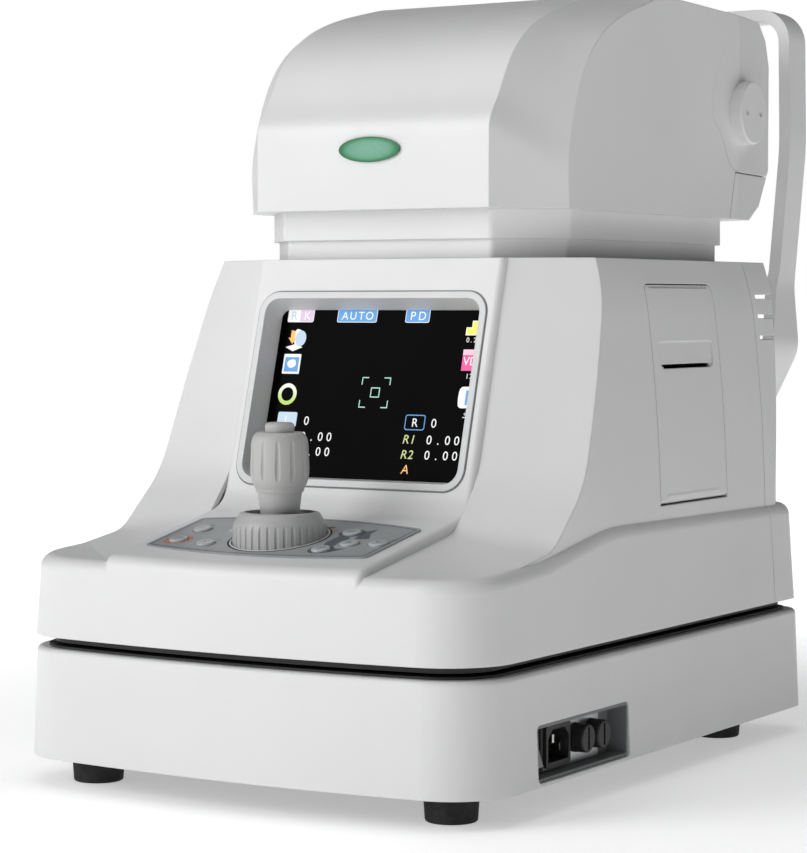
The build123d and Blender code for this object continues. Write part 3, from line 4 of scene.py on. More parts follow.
import bmesh
import bpy
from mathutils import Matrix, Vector


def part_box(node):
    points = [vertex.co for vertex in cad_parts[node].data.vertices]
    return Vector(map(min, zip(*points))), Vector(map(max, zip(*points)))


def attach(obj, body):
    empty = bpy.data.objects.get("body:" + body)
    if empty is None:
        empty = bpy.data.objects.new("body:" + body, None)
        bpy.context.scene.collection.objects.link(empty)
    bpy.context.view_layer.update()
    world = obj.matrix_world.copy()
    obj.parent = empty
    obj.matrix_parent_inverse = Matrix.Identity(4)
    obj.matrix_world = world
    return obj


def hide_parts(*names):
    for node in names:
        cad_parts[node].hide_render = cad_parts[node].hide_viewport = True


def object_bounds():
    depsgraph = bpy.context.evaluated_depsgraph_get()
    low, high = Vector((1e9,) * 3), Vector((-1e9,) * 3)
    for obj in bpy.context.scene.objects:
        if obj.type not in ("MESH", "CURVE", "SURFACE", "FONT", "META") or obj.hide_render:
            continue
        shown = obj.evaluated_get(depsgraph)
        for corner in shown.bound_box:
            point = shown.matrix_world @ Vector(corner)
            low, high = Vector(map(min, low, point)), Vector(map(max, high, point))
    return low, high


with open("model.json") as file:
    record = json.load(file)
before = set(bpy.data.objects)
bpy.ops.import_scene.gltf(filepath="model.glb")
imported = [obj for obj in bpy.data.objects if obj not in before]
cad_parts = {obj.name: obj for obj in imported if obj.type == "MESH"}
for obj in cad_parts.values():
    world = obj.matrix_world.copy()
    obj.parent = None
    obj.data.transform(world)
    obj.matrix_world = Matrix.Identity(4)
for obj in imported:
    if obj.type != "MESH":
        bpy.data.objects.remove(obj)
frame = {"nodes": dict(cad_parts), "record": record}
cad_low, cad_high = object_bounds()
nodes = frame["nodes"]
FRONT = cad_low.y


def behind(depth):
    """Y in metres of a place this many millimetres behind the front of the base."""
    return FRONT + depth / 1000


# ------------------------------------------------------------------ camera, light and floor
scene = bpy.context.scene
scene.view_settings.view_transform = "Standard"
AZIMUTH = radians(31.5)
PITCH = radians(2.613)
camera_data = bpy.data.cameras.new("camera")
camera_data.lens = 113.27
camera_data.clip_end = 20
camera = bpy.data.objects.new("camera", camera_data)
camera.location = (0.7360, -1.2803, 0.2415)
looking = Vector((-sin(AZIMUTH) * cos(PITCH), cos(AZIMUTH) * cos(PITCH), -sin(PITCH)))
camera.rotation_euler = looking.to_track_quat("-Z", "Y").to_euler()
scene.collection.objects.link(camera)
scene.camera = camera


def area_light(name, place, target, size, power, colour=(1, 1, 1)):
    data = bpy.data.lights.new(name, "AREA")
    data.shape = "RECTANGLE"
    data.size, data.size_y = size
    data.energy = power
    data.color = colour
    light = bpy.data.objects.new(name, data)
    light.location = place
    light.rotation_euler = (Vector(target) - Vector(place)).to_track_quat("-Z", "Y").to_euler()
    scene.collection.objects.link(light)


area_light("key_light", (-1.4, -2.2, 1.3), (0, 0, 0.2), (1.6, 1.6), 38)
area_light("top_light", (0.1, -0.5, 2.3), (0, 0, 0.2), (1.8, 1.8), 12)
area_light("side_light", (1.9, -1.3, 0.8), (0, -0.1, 0.2), (1.0, 1.2), 0.6)

world = bpy.data.worlds.new("studio")
world.use_nodes = True
scene.world = world
tree = world.node_tree
tree.nodes.clear()
seen = tree.nodes.new("ShaderNodeBackground")
seen.inputs["Color"].default_value = (1, 1, 1, 1)
seen.inputs["Strength"].default_value = 1.0
ambient = tree.nodes.new("ShaderNodeBackground")
ambient.inputs["Color"].default_value = (0.96, 0.98, 1, 1)
ambient.inputs["Strength"].default_value = 0.07
path = tree.nodes.new("ShaderNodeLightPath")
mix = tree.nodes.new("ShaderNodeMixShader")
out = tree.nodes.new("ShaderNodeOutputWorld")
tree.links.new(path.outputs["Is Camera Ray"], mix.inputs[0])
tree.links.new(ambient.outputs[0], mix.inputs[1])
tree.links.new(seen.outputs[0], mix.inputs[2])
tree.links.new(mix.outputs[0], out.inputs[0])


# ------------------------------------------------------------------ materials
class Nodes:
    """A material's node tree, with short calls for the nodes these finishes use."""

    def __init__(self, name):
        self.material = bpy.data.materials.new(name)
        self.material.use_nodes = True
        self.tree = self.material.node_tree
        self.shader = self.tree.nodes["Principled BSDF"]
        self.place = self.add("ShaderNodeTexCoord").outputs["Object"]

    def add(self, kind, **settings):
        node = self.tree.nodes.new(kind)
        for key, value in settings.items():
            setattr(node, key, value)
        return node

    def link(self, source, target):
        self.tree.links.new(source, target)

    def stretched(self, scale):
        node = self.add("ShaderNodeMapping")
        node.inputs["Scale"].default_value = scale
        self.link(self.place, node.inputs["Vector"])
        return node.outputs[0]

    def noise(self, scale, detail=2.0, place=None):
        node = self.add("ShaderNodeTexNoise")
        node.inputs["Scale"].default_value = scale
        node.inputs["Detail"].default_value = detail
        self.link(place or self.place, node.inputs["Vector"])
        return node.outputs["Fac"]

    def ramp(self, value, stops):
        node = self.add("ShaderNodeValToRGB")
        band = node.color_ramp
        while len(band.elements) < len(stops):
            band.elements.new(0.5)
        for element, (spot, colour) in zip(band.elements, stops):
            element.position = spot
            element.color = (*colour, 1)
        self.link(value, node.inputs["Fac"])
        return node.outputs["Color"]

    def spread(self, value, low, high, source=(0.3, 0.7)):
        node = self.add("ShaderNodeMapRange")
        node.inputs["From Min"].default_value, node.inputs["From Max"].default_value = source
        node.inputs["To Min"].default_value, node.inputs["To Max"].default_value = (low, high)
        self.link(value, node.inputs["Value"])
        return node.outputs["Result"]

    def math(self, operation, first, second=None):
        node = self.add("ShaderNodeMath", operation=operation)
        for socket, value in zip(node.inputs, (first, second)):
            if isinstance(value, (int, float)):
                socket.default_value = value
            elif value is not None:
                self.link(value, socket)
        return node.outputs[0]

    def bump(self, height, strength, distance, rounding=0.0):
        """Grain on the surface; with a rounding, the edges catch light as if broken to that radius."""
        node = self.add("ShaderNodeBump")
        if rounding:
            edge = self.add("ShaderNodeBevel", samples=6)
            edge.inputs["Radius"].default_value = rounding
            self.link(edge.outputs[0], node.inputs["Normal"])
        node.inputs["Strength"].default_value = strength
        node.inputs["Distance"].default_value = distance
        self.link(height, node.inputs["Height"])
        self.link(node.outputs[0], self.shader.inputs["Normal"])

    def set(self, **values):
        for key, value in values.items():
            self.shader.inputs[key.replace("_", " ")].default_value = value


def shade(colour, factor):
    return tuple(min(1.0, c * factor) for c in colour)


def plastic(name, colour, rough=0.42, grain=0.10, grain_scale=2600, drift=0.025, coat=0.0, rounding=0.0):
    """Moulded plastic: a slow drift of tone, spark-eroded grain and uneven gloss."""
    n = Nodes(name)
    tone = n.ramp(n.noise(9, 4), [(0.3, shade(colour, 1 - drift)), (0.7, shade(colour, 1 + drift))])
    n.link(tone, n.shader.inputs["Base Color"])
    n.link(n.spread(n.noise(70, 3), rough - 0.05, rough + 0.05), n.shader.inputs["Roughness"])
    n.bump(n.noise(grain_scale, 2), grain, 0.0003, rounding)
    n.set(Coat_Weight=coat, Coat_Roughness=0.12)
    return n.material


def metal(name, colour, rough=0.3, stretch=(60, 60, 2200), strength=0.05):
    """Machined or drawn metal: fine lines in one direction over a slow drift of tone."""
    n = Nodes(name)
    tone = n.ramp(n.noise(25, 4), [(0.3, shade(colour, 0.9)), (0.7, shade(colour, 1.06))])
    n.link(tone, n.shader.inputs["Base Color"])
    lines = n.noise(1, 3, n.stretched(stretch))
    n.link(n.spread(lines, rough - 0.08, rough + 0.1), n.shader.inputs["Roughness"])
    n.bump(lines, strength, 0.0002)
    n.set(Metallic=1.0)
    return n.material


def rubber(name, colour, rough=0.8):
    n = Nodes(name)
    tone = n.ramp(n.noise(120, 6), [(0.35, shade(colour, 0.8)), (0.7, shade(colour, 1.5))])
    n.link(tone, n.shader.inputs["Base Color"])
    n.link(n.spread(n.noise(300, 3), rough - 0.1, rough + 0.08), n.shader.inputs["Roughness"])
    n.bump(n.noise(1500, 3), 0.25, 0.0004)
    return n.material


def lit(name, low, high, strength=1.0, blend=None):
    """An element of the display: glowing pixels on a fine grid.

    blend = (axis, from, to) fades the low colour into the high one along that axis.
    """
    n = Nodes(name)
    grid = n.add("ShaderNodeTexChecker")
    grid.inputs["Scale"].default_value = 3600
    n.link(n.place, grid.inputs["Vector"])
    if blend:
        parts = n.add("ShaderNodeSeparateXYZ")
        n.link(n.place, parts.inputs[0])
        fade = n.spread(parts.outputs[blend[0]], 0, 1, blend[1:])
    else:
        fade = n.noise(40, 1)
    tone = n.ramp(fade, [(0.0, low), (1.0, high)])
    n.link(n.ramp(fade, [(0.0, shade(low, 0.08)), (1.0, shade(high, 0.08))]), n.shader.inputs["Base Color"])
    n.link(tone, n.shader.inputs["Emission Color"])
    glow = n.spread(grid.outputs["Fac"], 0.86 * strength, strength, (0, 1))
    n.link(glow, n.shader.inputs["Emission Strength"])
    n.set(Roughness=0.3)
    return n.material


finish = {
    "white_shell": plastic("white_shell", (0.80, 0.80, 0.805), rounding=0.0009),
    "black_trim": plastic("black_trim", (0.018, 0.018, 0.02), rough=0.5, drift=0.2, grain=0.2),
    "grey_tray": plastic("grey_tray", (0.20, 0.205, 0.21), rough=0.5, grain=0.16),
    "rocker_grey": plastic("rocker_grey", (0.42, 0.42, 0.40), rough=0.3, grain=0.05),
    "joystick_grey": plastic("joystick_grey", (0.47, 0.472, 0.47), rough=0.42, grain=0.14, rounding=0.0002),
    "grip_grey": plastic(
        "grip_grey", (0.49, 0.49, 0.48), rough=0.5, grain=0.22, grain_scale=2000, rounding=0.0005
    ),
    "bezel": plastic("bezel", (0.68, 0.685, 0.69), rough=0.36, grain=0.04, rounding=0.0006),
    "key_cap": plastic("key_cap", (0.50, 0.525, 0.535), rough=0.35, grain=0.08, coat=0.3, rounding=0.0004),
    "paper": plastic("paper", (0.86, 0.855, 0.83), rough=0.75, grain=0.3, grain_scale=900),
    "mire": plastic("mire", (0.76, 0.77, 0.75), rough=0.3, grain=0.05),
    "dark_metal": metal(
        "dark_metal", (0.09, 0.09, 0.095), rough=0.45, stretch=(300, 300, 300), strength=0.12
    ),
    "steel": metal("steel", (0.56, 0.57, 0.58), rough=0.28),
    "silver_plate": metal("silver_plate", (0.63, 0.64, 0.66), rough=0.36, stretch=(200, 40, 1900)),
    "contact": metal("contact", (0.72, 0.70, 0.64), rough=0.2, stretch=(60, 900, 900)),
    "cast_metal": metal("cast_metal", (0.45, 0.46, 0.47), rough=0.5, stretch=(260, 260, 260), strength=0.3),
    "foot_rubber": rubber("foot_rubber", (0.014, 0.014, 0.015)),
    "pad_silicone": rubber("pad_silicone", (0.10, 0.12, 0.145), rough=0.6),
}


def panel_film():
    """Printed overlay: a satin film with a faint woven texture."""
    n = Nodes("key_panel")
    tone = n.ramp(n.noise(30, 5), [(0.3, (0.345, 0.362, 0.372)), (0.7, (0.375, 0.392, 0.402))])
    n.link(tone, n.shader.inputs["Base Color"])
    n.link(n.spread(n.noise(200, 3), 0.34, 0.46), n.shader.inputs["Roughness"])
    n.bump(n.noise(1, 2, n.stretched((2400, 1200, 2400))), 0.08, 0.0002)
    return n.material


def display_glass():
    """The panel behind its cover: near black, glossy, with faint dust."""
    n = Nodes("screen")
    tone = n.ramp(n.noise(15, 3), [(0.3, (0.0010, 0.0010, 0.0012)), (0.7, (0.0020, 0.0020, 0.0023))])
    n.link(tone, n.shader.inputs["Base Color"])
    n.link(n.spread(n.noise(500, 6), 0.10, 0.2), n.shader.inputs["Roughness"])
    n.bump(n.noise(6, 1), 0.02, 0.0005)
    n.set(Specular_IOR_Level=0.01)
    return n.material


def lacquered_badge():
    """Domed badge under a clear coat, with painted light: a pale sea-green middle as a painted highlight, a
    bright green rim and a dark edge as painted shade.
    """
    n = Nodes("green_badge")
    parts = n.add("ShaderNodeSeparateXYZ")
    n.link(n.place, parts.inputs[0])
    low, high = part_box("badge")
    across = n.math("POWER", n.math("DIVIDE", parts.outputs["X"], high.x), 2)
    rise = n.math("SUBTRACT", parts.outputs["Z"], (low.z + high.z) / 2)
    rise = n.math("POWER", n.math("DIVIDE", rise, (high.z - low.z) / 2), 2)
    painted_shading_outward = n.math("ADD", across, rise)
    speck = n.math("MULTIPLY", n.noise(900, 3), 0.08)
    # Painted highlight in the middle and painted shade towards the edge, by distance from the badge's centre;
    # only the specks are the badge's own colour
    tone = n.ramp(
        n.math("ADD", painted_shading_outward, speck),
        [
            (0.0, (0.175, 0.43, 0.30)), (0.52, (0.12, 0.36, 0.23)),
            (0.78, (0.012, 0.25, 0.085)), (0.95, (0.006, 0.13, 0.045)),
        ],
    )
    n.link(tone, n.shader.inputs["Base Color"])
    n.link(n.spread(n.noise(60, 2), 0.2, 0.3), n.shader.inputs["Roughness"])
    n.bump(n.noise(1600, 2), 0.05, 0.0002)
    n.set(Coat_Weight=0.8, Coat_Roughness=0.05)
    return n.material


def lens_glass():
    """Coated glass: dark, with a violet-green coating that shifts over the lens."""
    n = Nodes("lens_glass")
    tone = n.ramp(n.noise(35, 2), [(0.3, (0.02, 0.035, 0.06)), (0.7, (0.045, 0.03, 0.07))])
    n.link(tone, n.shader.inputs["Base Color"])
    n.link(n.spread(n.noise(400, 4), 0.02, 0.06), n.shader.inputs["Roughness"])
    n.set(IOR=1.6, Coat_Weight=1.0, Coat_Roughness=0.02)
    return n.material


finish["key_panel"] = panel_film()
finish["screen"] = display_glass()
finish["green_badge"] = lacquered_badge()
finish["lens_glass"] = lens_glass()
for part in frame["record"]["subparts"]:
    node = nodes[part["node"]]
    for spot in node.material_slots:
        spot.material = finish[part["material_slot"]]

floor_mesh = bpy.data.meshes.new("floor")
floor_form = bmesh.new()
bmesh.ops.create_grid(floor_form, x_segments=8, y_segments=8, size=5)
floor_form.to_mesh(floor_mesh)
floor_form.free()
floor = bpy.data.objects.new("floor", floor_mesh)
scene.collection.objects.link(floor)
ground = Nodes("floor")
far = ground.add("ShaderNodeVectorMath", operation="LENGTH")
ground.link(ground.place, far.inputs[0])
pale_tone = ground.ramp(ground.noise(3, 3), [(0.3, (0.88, 0.88, 0.88)), (0.7, (0.91, 0.91, 0.91))])
ground.link(pale_tone, ground.shader.inputs["Base Color"])
# Painted light: the floor glows, weakly near the object and up to full white far from it, so the floor is
# painted darker around the object
floor_glow_by_distance = ground.spread(far.outputs["Value"], 0.42, 1.0, (0.22, 0.9))
ground.link(floor_glow_by_distance, ground.shader.inputs["Emission Strength"])
ground.set(Emission_Color=(1, 1, 1, 1), Roughness=0.7)
ground.bump(ground.noise(300, 2), 0.02, 0.0003)
floor_mesh.materials.append(ground.material)


# ------------------------------------------------------------------ flat marks on the screen and panels
TILT = radians(15.4)
SLOPE = radians(11.1)


class Facing:
    """A flat place on the object: u to the right, v up the slope, lift out of the surface, in millimetres."""

    def __init__(self, origin, up, lift):
        self.origin, self.up = Vector(origin), Vector(up)
        self.out = Vector((1, 0, 0)).cross(self.up)
        self.lift = lift

    def at(self, u, v, lift=0.0):
        return self.origin + (Vector((1, 0, 0)) * u + self.up * v + self.out * (self.lift + lift)) / 1000


display_top = Facing(
    (0, behind(122.6), 0.198), (0, sin(TILT), cos(TILT)), -11.0 + 0.04
)
bezel_top = Facing((0, behind(122.6), 0.198), (0, sin(TILT), cos(TILT)), 0.0)
panel_top = Facing((0, behind(50), 0.12651), (0, cos(SLOPE), sin(SLOPE)), 0.8 + 0.03)
key_top = Facing((0, behind(50), 0.12651), (0, cos(SLOPE), sin(SLOPE)), 2.0 + 0.02)


def box_shape(u0, v0, u1, v1, radius=0.0, steps=5):
    """Outline of an upright box with rounded corners."""
    if radius <= 0:
        return [(u0, v0), (u1, v0), (u1, v1), (u0, v1)]
    points = []
    for cu, cv, start in (
        (u1 - radius, v0 + radius, -90), (u1 - radius, v1 - radius, 0),
        (u0 + radius, v1 - radius, 90), (u0 + radius, v0 + radius, 180),
    ):
        for step in range(steps + 1):
            angle = radians(start + 90 * step / steps)
            points.append((cu + radius * cos(angle), cv + radius * sin(angle)))
    return points


def round_shape(u, v, radius, steps=40, squash=1.0):
    return [
        (u + radius * cos(2 * pi * k / steps), v + squash * radius * sin(2 * pi * k / steps))
        for k in range(steps)
    ]


def smooth_shape(points, steps=8):
    """A closed curve through the points."""
    result = []
    count = len(points)
    for index in range(count):
        a, b, c, d = (Vector(points[(index + k) % count]) for k in (-1, 0, 1, 2))
        for step in range(steps):
            t = step / steps
            spot = 0.5 * (
                2 * b + (c - a) * t + (2 * a - 5 * b + 4 * c - d) * t * t + (3 * b - a - 3 * c + d) * t ** 3
            )
            result.append(tuple(spot))
    return result


class Marks:
    """Flat printed or glowing shapes of one colour, gathered into one piece."""

    def __init__(self, name, facing, thickness=0.03):
        self.name, self.facing, self.thickness = name, facing, thickness
        self.form = bmesh.new()

    def fill(self, outline, lift=0.0):
        corners = [self.form.verts.new(self.facing.at(u, v, lift)) for u, v in outline]
        self.form.faces.new(corners)
        return self

    def band(self, outer, inner, lift=0.0):
        """The strip between two outlines with the same number of corners."""
        first = [self.form.verts.new(self.facing.at(u, v, lift)) for u, v in outer]
        second = [self.form.verts.new(self.facing.at(u, v, lift)) for u, v in inner]
        for index in range(len(first)):
            after = (index + 1) % len(first)
            self.form.faces.new((first[index], first[after], second[after], second[index]))
        return self

    def stroke(self, points, width, lift=0.0):
        """A line of even width through the points."""
        half = width / 2
        for (u0, v0), (u1, v1) in zip(points, points[1:]):
            along = Vector((u1 - u0, v1 - v0)).normalized()
            side = Vector((-along.y, along.x)) * half
            ext = along * half * 0.6
            self.fill([
                (u0 - ext.x - side.x, v0 - ext.y - side.y), (u1 + ext.x - side.x, v1 + ext.y - side.y),
                (u1 + ext.x + side.x, v1 + ext.y + side.y), (u0 - ext.x + side.x, v0 - ext.y + side.y),
            ], lift)
        return self

    def words(self, text, u, v, height, lift=0.0, pitch=None, lean=0.0, bold=0.0):
        """Characters centred on (u, v); with a pitch, each stands in a cell of that width."""
        if pitch:
            start = u - pitch * (len(text) - 1) / 2
            for index, letter in enumerate(text):
                self.words(letter, start + pitch * index, v, height, lift, None, lean, bold)
            return self
        curve = bpy.data.curves.new("words", "FONT")
        curve.body = text
        curve.size = height * 1.42
        curve.align_x = "CENTER"
        curve.shear = lean
        curve.offset = bold
        holder = bpy.data.objects.new("words", curve)
        scene.collection.objects.link(holder)
        bpy.context.view_layer.update()
        flat = bpy.data.meshes.new_from_object(holder.evaluated_get(bpy.context.evaluated_depsgraph_get()))
        lows = [corner.co.y for corner in flat.vertices]
        drop = (min(lows) + max(lows)) / 2 if text not in ".-" else height / 2
        spots = [
            self.form.verts.new(self.facing.at(u + corner.co.x, v + corner.co.y - drop, lift))
            for corner in flat.vertices
        ]
        for face in flat.polygons:
            try:
                self.form.faces.new([spots[index] for index in face.vertices])
            except ValueError:
                continue
        bpy.data.objects.remove(holder)
        return self

    def done(self, body, material):
        self.form.normal_update()
        bmesh.ops.triangulate(self.form, faces=self.form.faces[:], ngon_method="EAR_CLIP")
        self.form.normal_update()
        for face in self.form.faces:
            if face.normal.dot(self.facing.out) < 0:
                face.normal_flip()
        mesh = bpy.data.meshes.new(self.name)
        self.form.to_mesh(mesh)
        self.form.free()
        piece = bpy.data.objects.new(self.name, mesh)
        scene.collection.objects.link(piece)
        mesh.materials.append(material)
        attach(piece, body)
        return piece


white = Marks("display_white", display_top)
blue = Marks("display_blue", display_top)
for u0, u1 in ((-27.1, -2.7), (14.6, 29.1)):
    white.fill(box_shape(u0, 38.2, u1, 45.4, 1.0))
    blue.fill(box_shape(u0 + 0.35, 38.55, u1 - 0.35, 45.05, 0.8), 0.02)
white.words("AUTO", -14.9, 41.8, 4.3, 0.04, 5.0, 0, 0.012).words("PD", 21.8, 41.8, 4.6, 0.04, 5.6, 0, 0.012)
white.fill(box_shape(-58.2, 38.2, -41.8, 45.4, 1.0))
lilac = Marks("display_lilac", display_top)
lilac.fill(box_shape(-50.4, 38.5, -42.1, 45.1, 0.6), 0.02)
white.words("K", -46.0, 41.8, 4.6, 0.04, None, 0, 0.012)
pale = Marks("display_pale", display_top)
pale.words("R", -54.3, 41.8, 4.6, 0.04, None, 0, 0.012)
# Paper roll with its arrow, window, ring
white.fill(smooth_shape([
    (-51.5, 34.2), (-47.6, 33.2), (-46.0, 29.6), (-47.2, 25.6), (-50.6, 24.2), (-52.2, 29.0),
]))
pale.fill(round_shape(-48.2, 29.4, 3.4, 24, 1.25), 0.02)
white.fill([(-57.0, 24.6), (-50.8, 26.4), (-46.4, 24.6), (-52.2, 22.4)])
amber = Marks("display_amber", display_top)
amber.fill([
    (-54.6, 33.8), (-52.0, 33.4), (-51.9, 29.4), (-50.6, 29.3), (-53.2, 26.4), (-56.0, 29.8), (-54.6, 29.7),
], 0.03)
white.fill(box_shape(-56.9, 10.2, -46.2, 20.9, 0.5))
blue.fill(box_shape(-55.9, 11.3, -47.2, 19.2), 0.02)
white.fill(smooth_shape([(-54.4, 15.6), (-53.2, 17.4), (-49.8, 17.8), (-49.0, 14.6), (-52.4, 13.4)]), 0.04)
ring_mark = Marks("display_ring", display_top)
ring_mark.band(round_shape(-51.4, -0.8, 5.8, 48), round_shape(-51.4, -0.8, 3.7, 48))
# Steps, distance and cylinder
yellow = Marks("display_yellow", display_top)
white.fill([
    (51.7, 31.7), (60.6, 31.7), (60.6, 43.0), (58.2, 43.0), (58.2, 39.4), (54.9, 39.4), (54.9, 35.9),
    (51.7, 35.9),
])
yellow.fill([
    (52.1, 32.1), (60.3, 32.1), (60.3, 42.6), (58.6, 42.6), (58.6, 39.0), (55.3, 39.0), (55.3, 35.5),
    (52.1, 35.5),
], 0.02)
white.words("0.25", 56.6, 29.3, 2.5, 0.02, 2.1)
magenta = Marks("display_magenta", display_top)
magenta.fill(box_shape(51.8, 13.2, 61.0, 24.3))
blush = Marks("display_blush", display_top)
blush.fill(box_shape(51.8, 21.4, 61.0, 24.3), 0.02)
white.words("VD", 56.6, 18.2, 4.4, 0.04, None, 0, 0.01).words("12", 57.0, 10.4, 2.6, 0.02, 2.2)
white.fill(smooth_shape([(52.9, 3.6), (57.0, 4.9), (61.0, 3.8), (61.0, -4.6), (57.0, -6.2), (52.9, -5.0)]))
blue.fill(box_shape(56.6, -4.6, 60.2, 3.0), 0.02)
white.words("+", 57.6, -9.2, 2.2, 0.02).stroke([(56.5, -11.0), (58.7, -11.0)], 0.4, 0.02)
# Aiming frame
mint = Marks("display_mint", display_top)
for u, v, du, dv in ((-6.0, 8.8, 1, -1), (10.9, 8.8, -1, -1), (-6.0, -6.9, 1, 1), (10.9, -6.9, -1, 1)):
    mint.stroke([(u + 3.6 * du, v), (u, v)], 0.55)
    mint.stroke([(u, v), (u, v + 3.6 * dv)], 0.55)
mint.stroke([(0.1, -1.4), (5.1, -1.4)], 0.55).stroke([(5.1, -1.4), (5.1, 3.4)], 0.55)
mint.stroke([(5.1, 3.4), (0.1, 3.4)], 0.55).stroke([(0.1, 3.4), (0.1, -1.4)], 0.55)
# Readings
blue.band(box_shape(23.1, -18.3, 35.0, -10.2, 1.3), box_shape(23.6, -17.8, 34.5, -10.7, 0.9))
pale.fill(box_shape(-55.2, -18.3, -43.2, -10.4, 1.0))
white.words("L", -49.2, -14.4, 4.4, 0.04, None, 0, 0.01).words("R", 29.0, -14.3, 4.4, 0.02, None, 0, 0.01)
white.words("0", -36.9, -14.8, 4.6, 0.02).words("0", 40.3, -14.4, 4.6, 0.02)
lime = Marks("display_lime", display_top)
for v, label in ((-23.1, "R1"), (-31.0, "R2")):
    white.words("0.00", -29.6, v, 4.6, 0.02, 5.4).words("0.00", 47.0, v, 4.6, 0.02, 5.4)
    lime.words(label, 27.0, v, 4.6, 0.02, 4.0, 0.15, 0.01).words(label, -49.5, v, 4.6, 0.02, 4.0, 0.15, 0.01)
for u in (26.9, -49.5):
    amber.words("A", u, -38.7, 4.7, 0.02, None, 0.15, 0.01)

white.done("body", lit("display_white", (0.80, 0.82, 0.84), (0.95, 0.95, 0.95)))
blue.done("body", lit("display_blue", (0.02, 0.22, 0.62), (0.05, 0.36, 0.75)))
lilac.done("body", lit("display_lilac", (0.62, 0.45, 0.66), (0.78, 0.62, 0.80)))
pale.done("body", lit("display_pale", (0.45, 0.66, 0.88), (0.66, 0.80, 0.92), 0.85))
amber.done("body", lit("display_amber", (0.95, 0.42, 0.05), (0.95, 0.52, 0.10)))
yellow.done("body", lit("display_yellow", (0.95, 0.85, 0.02), (0.95, 0.90, 0.05)))
magenta.done("body", lit("display_magenta", (0.80, 0.01, 0.22), (0.86, 0.02, 0.30)))
blush.done("body", lit("display_blush", (0.85, 0.45, 0.55), (0.92, 0.62, 0.70)))
mint.done("body", lit("display_mint", (0.35, 0.72, 0.60), (0.42, 0.80, 0.68), 0.9))
lime.done("body", lit("display_lime", (0.62, 0.70, 0.22), (0.72, 0.80, 0.28), 0.8))
ring_glow = lit("display_ring", (0.45, 0.66, 0.05), (0.92, 0.95, 0.88), 1.0, ("Z", 0.1905, 0.1995))
ring_mark.done("body", ring_glow)

seam_line = Marks("bezel_seam", bezel_top)
seam_line.band(
    box_shape(-69.3, -52.3, 69.3, 52.3, 12.2, 12), box_shape(-68.4, -51.4, 68.4, 51.4, 11.4, 12), 0.06
)
seam_line.done("body", plastic("bezel_seam", (0.22, 0.225, 0.23), rough=0.5, drift=0.1))

# ------------------------------------------------------------------ key panel print
key_places = {
    "mode_key": (-51.0, 6.6), "print_key": (-52.0, -12.8), "clear_key": (-33.0, -16.6),
    "menu_key": (33.5, 13.7),
    "chin_up_key": (43.3, -4.6), "chin_down_key": (58.1, -2.0), "target_key": (34.4, -16.1),
}


def arc_points(u0, v0, u1, v1, bow, steps=24):
    """Points of a shallow bow from one place to another."""
    return [
        (u0 + (u1 - u0) * k / steps, v0 + (v1 - v0) * k / steps + bow * 4 * (k / steps) * (1 - k / steps))
        for k in range(steps + 1)
    ]


border = Marks("panel_border", panel_top)
outside = arc_points(-62.7, -22.6, 62.7, -22.6, -6.6) + arc_points(63.6, 25.4, -63.6, 25.4, 8.6)
inside = arc_points(-61.9, -21.8, 61.9, -21.8, -6.6) + arc_points(62.8, 24.6, -62.8, 24.6, 8.6)
border.band(outside, inside)
swoosh = Marks("panel_swoosh", panel_top)
inked = plastic("panel_ink", (0.095, 0.115, 0.130), rough=0.4, grain=0.05, drift=0.1)
for key, reach in (("menu_key", 7.0), ("target_key", 6.8)):
    u, v = key_places[key]
    swoosh.band(round_shape(u, v, reach, 40, 0.95), round_shape(u, v, 5.3, 40))
swoosh.fill([(39.2, 17.8), (43.6, 22.0), (43.9, 14.2), (48.2, 6.0), (40.8, 3.8), (39.5, 9.6)])
swoosh.fill([(29.8, 8.2), (36.6, 7.0), (38.4, 1.6), (36.4, -4.2), (37.6, -9.8), (31.4, -9.9), (29.2, -3.2)])
swoosh.fill([(40.9, -13.4), (46.6, -11.4), (40.2, -20.0)])
swoosh.done("body", inked)
border.done("body", inked)

rust = Marks("panel_orange", panel_top)
rust.band(round_shape(-52.0, -12.8, 7.4), round_shape(-52.0, -12.8, 5.9))
rust.fill([(18.8, 15.2), (23.0, 19.0), (22.4, 14.6)])
rust.done("body", plastic("panel_orange", (0.62, 0.20, 0.06), rough=0.4, grain=0.05))

ticks = Marks("panel_ticks", panel_top)
for u, v, size in ((-50.5, 14.4, 3.6), (-29.6, -9.6, 3.0), (62.6, 5.2, 2.6)):
    ticks.fill(box_shape(u - size / 2, v - 0.35, u + size / 2, v + 0.35, 0.2))
ticks.stroke([(4.0, 26.6 - 4.6), (14.6, 25.8 - 4.6)], 0.5)
ticks.fill(smooth_shape([(14.4, 21.4), (16.6, 22.6), (19.6, 21.2), (16.8, 20.4)]))
ticks.done("body", plastic("panel_ticks", (0.03, 0.033, 0.036), rough=0.4))

# A near-black band painted on the panel around the ring trim: painted shadow where the gap between trim and
# panel lies
gap_shadow = Marks("ring_gap_painted_shadow", panel_top)
gap_shadow.band(round_shape(0, 0, 26.0, 72), round_shape(0, 0, 24.9, 72), 0.02)
gap_shadow.done("body", plastic("ring_gap_painted_shadow", (0.004, 0.004, 0.004), rough=0.6))
lamp = Marks("ready_lamp", panel_top)
lamp.fill(round_shape(-33.6, 8.1, 1.9, 24), 0.03)
lamp.done("body", plastic("ready_lamp", (0.62, 0.66, 0.66), rough=0.2, grain=0.03, coat=0.6))

